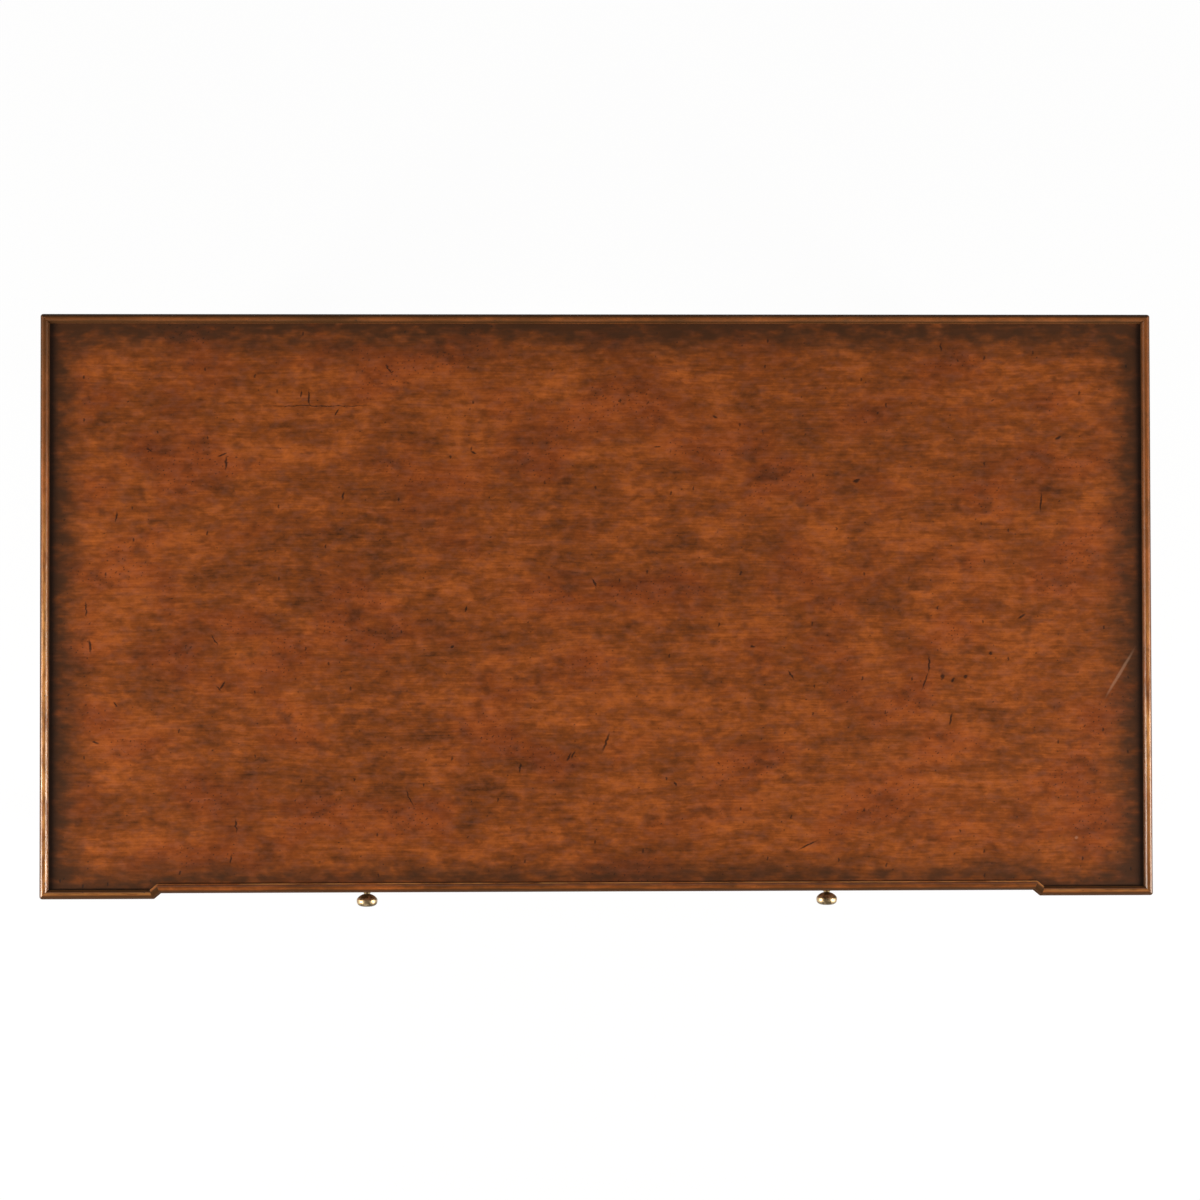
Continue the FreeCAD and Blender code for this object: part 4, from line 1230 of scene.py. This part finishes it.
def bead_section(depth, height, projection):
    """Section of a lower bead: u runs from its back to its nose and v up. The nose is a half circle."""
    radius = height / 2
    nose = bent_arc((projection - radius, radius), (radius, radius), -90, 90, 11)
    return nosed((projection - depth, 0), nose, (projection - depth, height))


def build_lower_beads(frieze, finish):
    """Round-nosed strips under the aprons and the front rail. The front one ends on the blocks' cants."""
    side_span = leg_back_inner - leg_front_inner
    rows = (
        ("lower_bead_left", (0, leg_front_inner), side_span, (0, 1, 0), (-1, 0, 0), 0),
        ("lower_bead_right", (0, leg_front_inner), side_span, (0, 1, 0), (1, 0, 0), 0),
        ("lower_bead_back", (-leg_side_inner, 0), 2 * leg_side_inner, (1, 0, 0), (0, 1, 0), 0),
        ("lower_bead_front", (-opening, 0), 2 * opening, (1, 0, 0), (0, -1, 0), cant_slope),
    )
    for seed, (node, start, span, way, out, slope) in enumerate(rows, start=60):
        low, high = limits(node)
        axis = 0 if out[0] else 1
        section, tone = bead_section(high[axis] - low[axis], high[2] - low[2], frieze.bead_projection)
        place = np.array((*start, low[2]), float)
        place[axis] = (high[axis] if out[axis] > 0 else low[axis]) - out[axis] * frieze.bead_projection
        cuts = [-slope * np.maximum(section[:, 0], 0)] * 2
        tube = run(
            section, tone, place, way, out, (0, 0, 1), span, cuts,
            seed=seed, dent=0.3 * mm, spacing=6 * mm,
        )
        add_tubes(node, finish, [tube])


def build_pegs(frieze, finish):
    """Twelve pegs through the tenons of the aprons. A peg is a round tube whose end is a low dome."""
    low, high = limits("back_apron")
    radius = frieze.peg / 2
    half_tenon = frieze.tenon / 2
    turn = np.linspace(0, math.pi / 2, 6)
    dome = together(frieze.peg_proud * np.sin(turn), radius * np.cos(turn) + 0.05 * mm)
    profile = np.concatenate(([(-frieze.peg_length, radius)], dome))
    levels = [(low[2] + high[2]) / 2 + sign * frieze.peg_spread / 2 for sign in (-1, 1)]
    rows = (leg_front_inner - half_tenon, leg_back_inner + half_tenon)
    places = [((side * leg_side_outer, y), (side, 0, 0)) for side in (-1, 1) for y in rows]
    places += [((side * (leg_side_inner + half_tenon), leg_back_outer), (0, 1, 0)) for side in (-1, 1)]
    tubes = [turned(profile, (*place, level), way, sides=20) for place, way in places for level in levels]
    add_tubes("tenon_pegs", finish, tubes)


# Pieces of the drawer


def build_cock_beads(frieze, finish):
    """Four beads round the drawer front, mitred at 45 degrees, each with a half-round nose.

    Each has the corner at which it starts, its way and the way inwards, as pairs of X and Z.
    """
    low, high = limits("cock_bead_bottom")
    top = limits("cock_bead_top")[1][2]
    half, bottom, front, tail = high[0], low[2], low[1], high[1]
    sides = (
        ("cock_bead_bottom", (-half, bottom), (1, 0), (0, 1)),
        ("cock_bead_right", (half, bottom), (0, 1), (-1, 0)),
        ("cock_bead_top", (half, top), (-1, 0), (0, -1)),
        ("cock_bead_left", (-half, top), (0, -1), (1, 0)),
    )
    radius = frieze.cock_bead / 2
    nose = bent_arc((front + radius, radius), (radius, radius), 270, 90, 9)
    section, tone = nosed((tail, 0), nose, (tail, frieze.cock_bead))
    for seed, (node, *pairs) in enumerate(sides, start=70):
        corner, way, inner = ((x, 0, z) for x, z in pairs)
        span = 2 * half if way[0] else top - bottom
        tube = run(
            section, tone, corner, way, (0, 1, 0), inner, span, [section[:, 1]] * 2,
            arris=0.1 * mm, seed=seed, dent=0.25 * mm, spacing=6 * mm,
        )
        add_tubes(node, finish, [tube], body="drawer")


def knob_profile(knob, reach, head):
    """Distances from the drawer front, radii and tones of a knob, from its rose over its neck to its face.

    The head is a superellipse of power 3 in front, which is blunt, and of power 1.7 behind. The neck flares
    into it by a fourth power, and a ring stands on the rose.
    """
    rose = knob.rose / 2
    neck = knob.neck / 2
    thick = knob.rose_thickness
    widest = reach - knob.head_front
    soft = 0.6 * mm
    ring = 1.2 * mm
    foot = [(0, rose - soft), (soft, rose), (thick - soft, rose), (thick, rose - soft)]
    collar = bent_arc((thick + ring, neck + 0.5 * mm), (ring, ring), 180, 360, 7)
    turn = np.linspace(0.33, math.pi / 2, 15)
    power = 2 / 1.7
    behind = together(widest - knob.head_back * np.cos(turn) ** power, head * np.sin(turn) ** power)
    turn = np.linspace(0, math.pi / 2, 20)[1:]
    power = 2 / 3
    front = together(
        widest + knob.head_front * np.sin(turn) ** power, head * np.maximum(np.cos(turn), 0.02) ** power
    )
    flare = np.linspace(0, 1, 6)[:-1]
    start = thick + 3 * mm
    stem = together(start + (behind[0][0] - start) * flare, neck + (behind[0][1] - neck) * flare**4)
    return joined([
        (foot, -0.5),
        (collar, -0.5),
        (stem, -0.8),
        (behind, np.linspace(-0.5, 0.2, len(behind))),
        # The face darkens towards its middle: painted shade that dims its reflection of the white floor
        (front, np.linspace(0.2, -1, len(front))),
    ])


def build_knobs(knob, finish):
    """Two turned brass knobs."""
    for node in ("knob_left", "knob_right"):
        low, high = limits(node)
        middle = (low + high) / 2
        profile, tones = knob_profile(knob, high[1] - low[1], (high[0] - low[0]) / 2)
        rings, _, grain = turned(profile, (middle[0], high[1], middle[2]), (0, -1, 0), sides=64)
        add_tubes(node, finish, [(rings, tones[:, None], grain)], body="drawer")


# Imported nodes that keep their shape

along_x = (0, 0, 0)
along_y = (0, 0, math.radians(90))
polished_boards = ("drawer_front", "front_top_rail", "front_bottom_rail")
plain_boards = (
    "drawer_side_left", "drawer_side_right", "drawer_back", "drawer_bottom_left", "drawer_bottom_right",
    "drawer_muntin", "runner_left", "runner_right", "centre_runner", "kicker_left", "kicker_right",
    "centre_kicker", "guide_left", "guide_right", "drawer_stops", "top_buttons",
)
plain_boards_along_x = (
    "drawer_back", "drawer_bottom_left", "drawer_bottom_right", "drawer_stops", "top_buttons",
)
steel_nodes = ("button_screws", "rail_screws", "knob_screws", "bottom_screws")


def dress(node, finish):
    """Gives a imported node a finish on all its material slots."""
    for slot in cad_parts[node].material_slots:
        slot.link = "OBJECT"
        slot.material = finish


def board_shift(number):
    """How far a board's grain is shifted, so that no two boards look alike."""
    return 0.3 * number, 0.07 * number, 0


# Stage


def add_camera(stage):
    """Camera of the photograph."""
    data = bpy.data.cameras.new("camera")
    data.lens = stage.focal_pixels / photo_side * data.sensor_width
    camera = bpy.data.objects.new("camera", data)
    camera.matrix_world = photo_camera(stage)
    bpy.context.scene.collection.objects.link(camera)
    bpy.context.scene.camera = camera


def add_lamps(stage):
    """A softbox at the left and at the right, both a little in front of the table."""
    aim = Vector((0, 0, rim))
    for side, name in ((-1, "softbox_left"), (1, "softbox_right")):
        data = bpy.data.lights.new(name, "AREA")
        data.shape = "RECTANGLE"
        data.size = stage.lamp_width
        data.size_y = stage.lamp_length
        data.energy = stage.lamp_power
        data.color = stage.lamp_colour
        lamp = bpy.data.objects.new(name, data)
        lamp.location = (side * stage.lamp_side, -stage.lamp_front, rim + stage.lamp_rise)
        lamp.rotation_euler = (aim - lamp.location).to_track_quat("-Z", "Y").to_euler()
        bpy.context.scene.collection.objects.link(lamp)


def rays(paint, *kinds):
    """1 for light rays of the given kinds and 0 for all others."""
    path = paint.nodes.new("ShaderNodeLightPath")
    found, *others = [Value(paint, path.outputs[f"Is {kind} Ray"]) for kind in kinds]
    for other in others:
        found = found.larger(other)
    return found


def seen_white(paint, glow, plain):
    """Shader that camera, glossy and transmission rays see as white by a share, and other rays as plain."""
    seen = rays(paint, "Camera", "Glossy", "Transmission")
    white = paint.node("ShaderNodeEmission", {}, {"Color": (1, 1, 1, 1), "Strength": 1.0})
    return paint.node("ShaderNodeMixShader", {}, {0: seen * glow, 1: plain, 2: white})


def add_floor(stage):
    """Round white floor that keeps a faint shadow, shows no horizon and can't be seen from below."""
    sides = 96
    angle = np.linspace(0, 2 * math.pi, sides, endpoint=False)
    outline = together(stage.floor_radius * np.cos(angle), stage.floor_radius * np.sin(angle), -0.2 * mm)
    floor = add_mesh("floor", outline, [list(range(sides))], {})
    paint = new_paint("white_floor")
    plain = paint.node("ShaderNodeBsdfDiffuse", {}, {"Color": (0.8, 0.8, 0.8, 1)})
    away = paint.vector("LENGTH", paint.place(), output="Value").step(stage.fade_start, stage.fade_end)
    surface = seen_white(paint, stage.floor_glow + away * (1 - stage.floor_glow), plain)
    below = paint.node("ShaderNodeNewGeometry", output="Backfacing")
    clear = paint.node("ShaderNodeBsdfTransparent")
    mixed = paint.node("ShaderNodeMixShader", {}, {0: below, 1: surface, 2: clear})
    paint.node("ShaderNodeOutputMaterial", {}, {"Surface": mixed})
    floor.data.materials.append(paint.owner)


def add_world(stage):
    """White surroundings that light the table softly. In reflections they darken towards the ceiling."""
    world = bpy.data.worlds.new("studio")
    bpy.context.scene.world = world
    paint = Paint(world)
    away = paint.node("ShaderNodeTexCoord", output="Generated")
    height = paint.node("ShaderNodeSeparateXYZ", {}, {0: away}, output="Z")
    wall = stage.ceiling + height.step(0.75, 0.25) * (1 - stage.ceiling)
    mirrored = rays(paint, "Glossy", "Transmission")
    seen = rays(paint, "Camera")
    strength = seen + (1 - seen) * (mirrored * wall + (1 - mirrored) * stage.fill)
    shader = paint.node("ShaderNodeBackground", {}, {"Color": (1, 1, 1, 1), "Strength": strength})
    paint.node("ShaderNodeOutputWorld", {}, {"Surface": shader})


# Operators


class WRITINGTABLE_OT_top(bpy.types.Operator):
    """Build the flat top inside the moulded edge"""

    bl_idname = "writing_table.top"
    bl_label = "Top panel"

    def execute(self, context):
        table = context.scene.writing_table
        bare = plain_board("plain_underside", table.plain, along_x, shift=(0.5, 0.9, 0))
        build_panel(table.edge, antiqued_panel(table.wood, table.stage), bare)
        return {"FINISHED"}


class WRITINGTABLE_OT_edge(bpy.types.Operator):
    """Build the eight lengths of the moulded edge"""

    bl_idname = "writing_table.edge"
    bl_label = "Moulded edge"

    def execute(self, context):
        table = context.scene.writing_table
        finish = antiqued_frame("antiqued_edge", table.wood, table.wood.edge_thinning)
        build_edge(table.edge, finish, frame_finish(table))
        return {"FINISHED"}


class WRITINGTABLE_OT_legs(bpy.types.Operator):
    """Build the four legs"""

    bl_idname = "writing_table.legs"
    bl_label = "Legs"

    def execute(self, context):
        table = context.scene.writing_table
        build_legs(table.leg, frame_finish(table))
        return {"FINISHED"}


class WRITINGTABLE_OT_frieze(bpy.types.Operator):
    """Build the aprons and the end blocks between the legs"""

    bl_idname = "writing_table.frieze"
    bl_label = "Aprons and end blocks"

    def execute(self, context):
        table = context.scene.writing_table
        finish = frame_finish(table)
        bare_along_x = plain_board("plain_apron_inside_x", table.plain, along_x, shift=(0.2, 0.6, 0.1))
        bare_along_y = plain_board("plain_apron_inside_y", table.plain, along_y, shift=(0.4, 0.3, 0.2))
        build_aprons(table.frieze, finish, bare_along_x, bare_along_y)
        build_blocks(table.frieze, finish)
        return {"FINISHED"}


class WRITINGTABLE_OT_lower_beads(bpy.types.Operator):
    """Build the beads under the frieze"""

    bl_idname = "writing_table.lower_beads"
    bl_label = "Lower beads"

    def execute(self, context):
        table = context.scene.writing_table
        build_lower_beads(table.frieze, frame_finish(table))
        return {"FINISHED"}


class WRITINGTABLE_OT_pegs(bpy.types.Operator):
    """Build the pegs of the tenons"""

    bl_idname = "writing_table.pegs"
    bl_label = "Tenon pegs"

    def execute(self, context):
        table = context.scene.writing_table
        build_pegs(table.frieze, frame_finish(table))
        return {"FINISHED"}


class WRITINGTABLE_OT_cock_beads(bpy.types.Operator):
    """Build the beads round the drawer front"""

    bl_idname = "writing_table.cock_beads"
    bl_label = "Cock beads"

    def execute(self, context):
        table = context.scene.writing_table
        build_cock_beads(table.frieze, frame_finish(table))
        return {"FINISHED"}


class WRITINGTABLE_OT_boards(bpy.types.Operator):
    """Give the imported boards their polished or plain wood"""

    bl_idname = "writing_table.boards"
    bl_label = "Boards"

    def execute(self, context):
        table = context.scene.writing_table
        for number, node in enumerate(polished_boards):
            dress(node, antiqued_board("antiqued_" + node, table.wood, along_x, board_shift(number)))
        for number, node in enumerate(plain_boards):
            turn = along_x if node in plain_boards_along_x else along_y
            dress(node, plain_board("plain_" + node, table.plain, turn, board_shift(number)))
        return {"FINISHED"}


class WRITINGTABLE_OT_brass(bpy.types.Operator):
    """Build the knobs, and give the glides the same brass"""

    bl_idname = "writing_table.brass"
    bl_label = "Knobs and glides"

    def execute(self, context):
        table = context.scene.writing_table
        brass = aged_brass(table.metals)
        build_knobs(table.knob, brass)
        dress("foot_glides", brass)
        return {"FINISHED"}


class WRITINGTABLE_OT_screws(bpy.types.Operator):
    """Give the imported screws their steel"""

    bl_idname = "writing_table.screws"
    bl_label = "Screws"

    def execute(self, context):
        steel = screw_steel(context.scene.writing_table.metals)
        for node in steel_nodes:
            dress(node, steel)
        return {"FINISHED"}


class WRITINGTABLE_OT_stage(bpy.types.Operator):
    """Set the camera over the table, two softboxes, the white floor and the light from all round"""

    bl_idname = "writing_table.stage"
    bl_label = "Stage"

    def execute(self, context):
        stage = context.scene.writing_table.stage
        add_camera(stage)
        add_lamps(stage)
        add_floor(stage)
        add_world(stage)
        context.scene.view_settings.view_transform = "Standard"
        return {"FINISHED"}


class WRITINGTABLE_PT_panel(bpy.types.Panel):
    """Sidebar panel with the steps of the writing table."""

    bl_idname = "WRITINGTABLE_PT_panel"
    bl_label = "Writing table"
    bl_space_type = "VIEW_3D"
    bl_region_type = "UI"
    bl_category = "Writing table"

    def draw(self, context):
        for step in steps:
            self.layout.operator(step.bl_idname)


groups = (
    AntiquedWood, PlainWood, Metals, EdgeSizes, LegSizes, FriezeSizes, KnobSizes, StageSettings,
    TableSettings,
)
steps = (
    WRITINGTABLE_OT_top, WRITINGTABLE_OT_edge, WRITINGTABLE_OT_legs, WRITINGTABLE_OT_frieze,
    WRITINGTABLE_OT_lower_beads, WRITINGTABLE_OT_pegs, WRITINGTABLE_OT_cock_beads, WRITINGTABLE_OT_boards,
    WRITINGTABLE_OT_brass, WRITINGTABLE_OT_screws, WRITINGTABLE_OT_stage,
)
classes = (*groups, *steps, WRITINGTABLE_PT_panel)


def register():
    """Registers the classes and the scene's settings."""
    for each in classes:
        bpy.utils.register_class(each)
    bpy.types.Scene.writing_table = PointerProperty(type=TableSettings)


def unregister():
    """Takes the settings and the classes away again."""
    del bpy.types.Scene.writing_table
    for each in reversed(classes):
        bpy.utils.unregister_class(each)


def main():
    """Builds the table and the stage."""
    register()
    bpy.ops.writing_table.top()
    bpy.ops.writing_table.edge()
    bpy.ops.writing_table.legs()
    bpy.ops.writing_table.frieze()
    bpy.ops.writing_table.lower_beads()
    bpy.ops.writing_table.pegs()
    bpy.ops.writing_table.cock_beads()
    bpy.ops.writing_table.boards()
    bpy.ops.writing_table.brass()
    bpy.ops.writing_table.screws()
    bpy.ops.writing_table.stage()


if __name__ == "__main__":
    main()
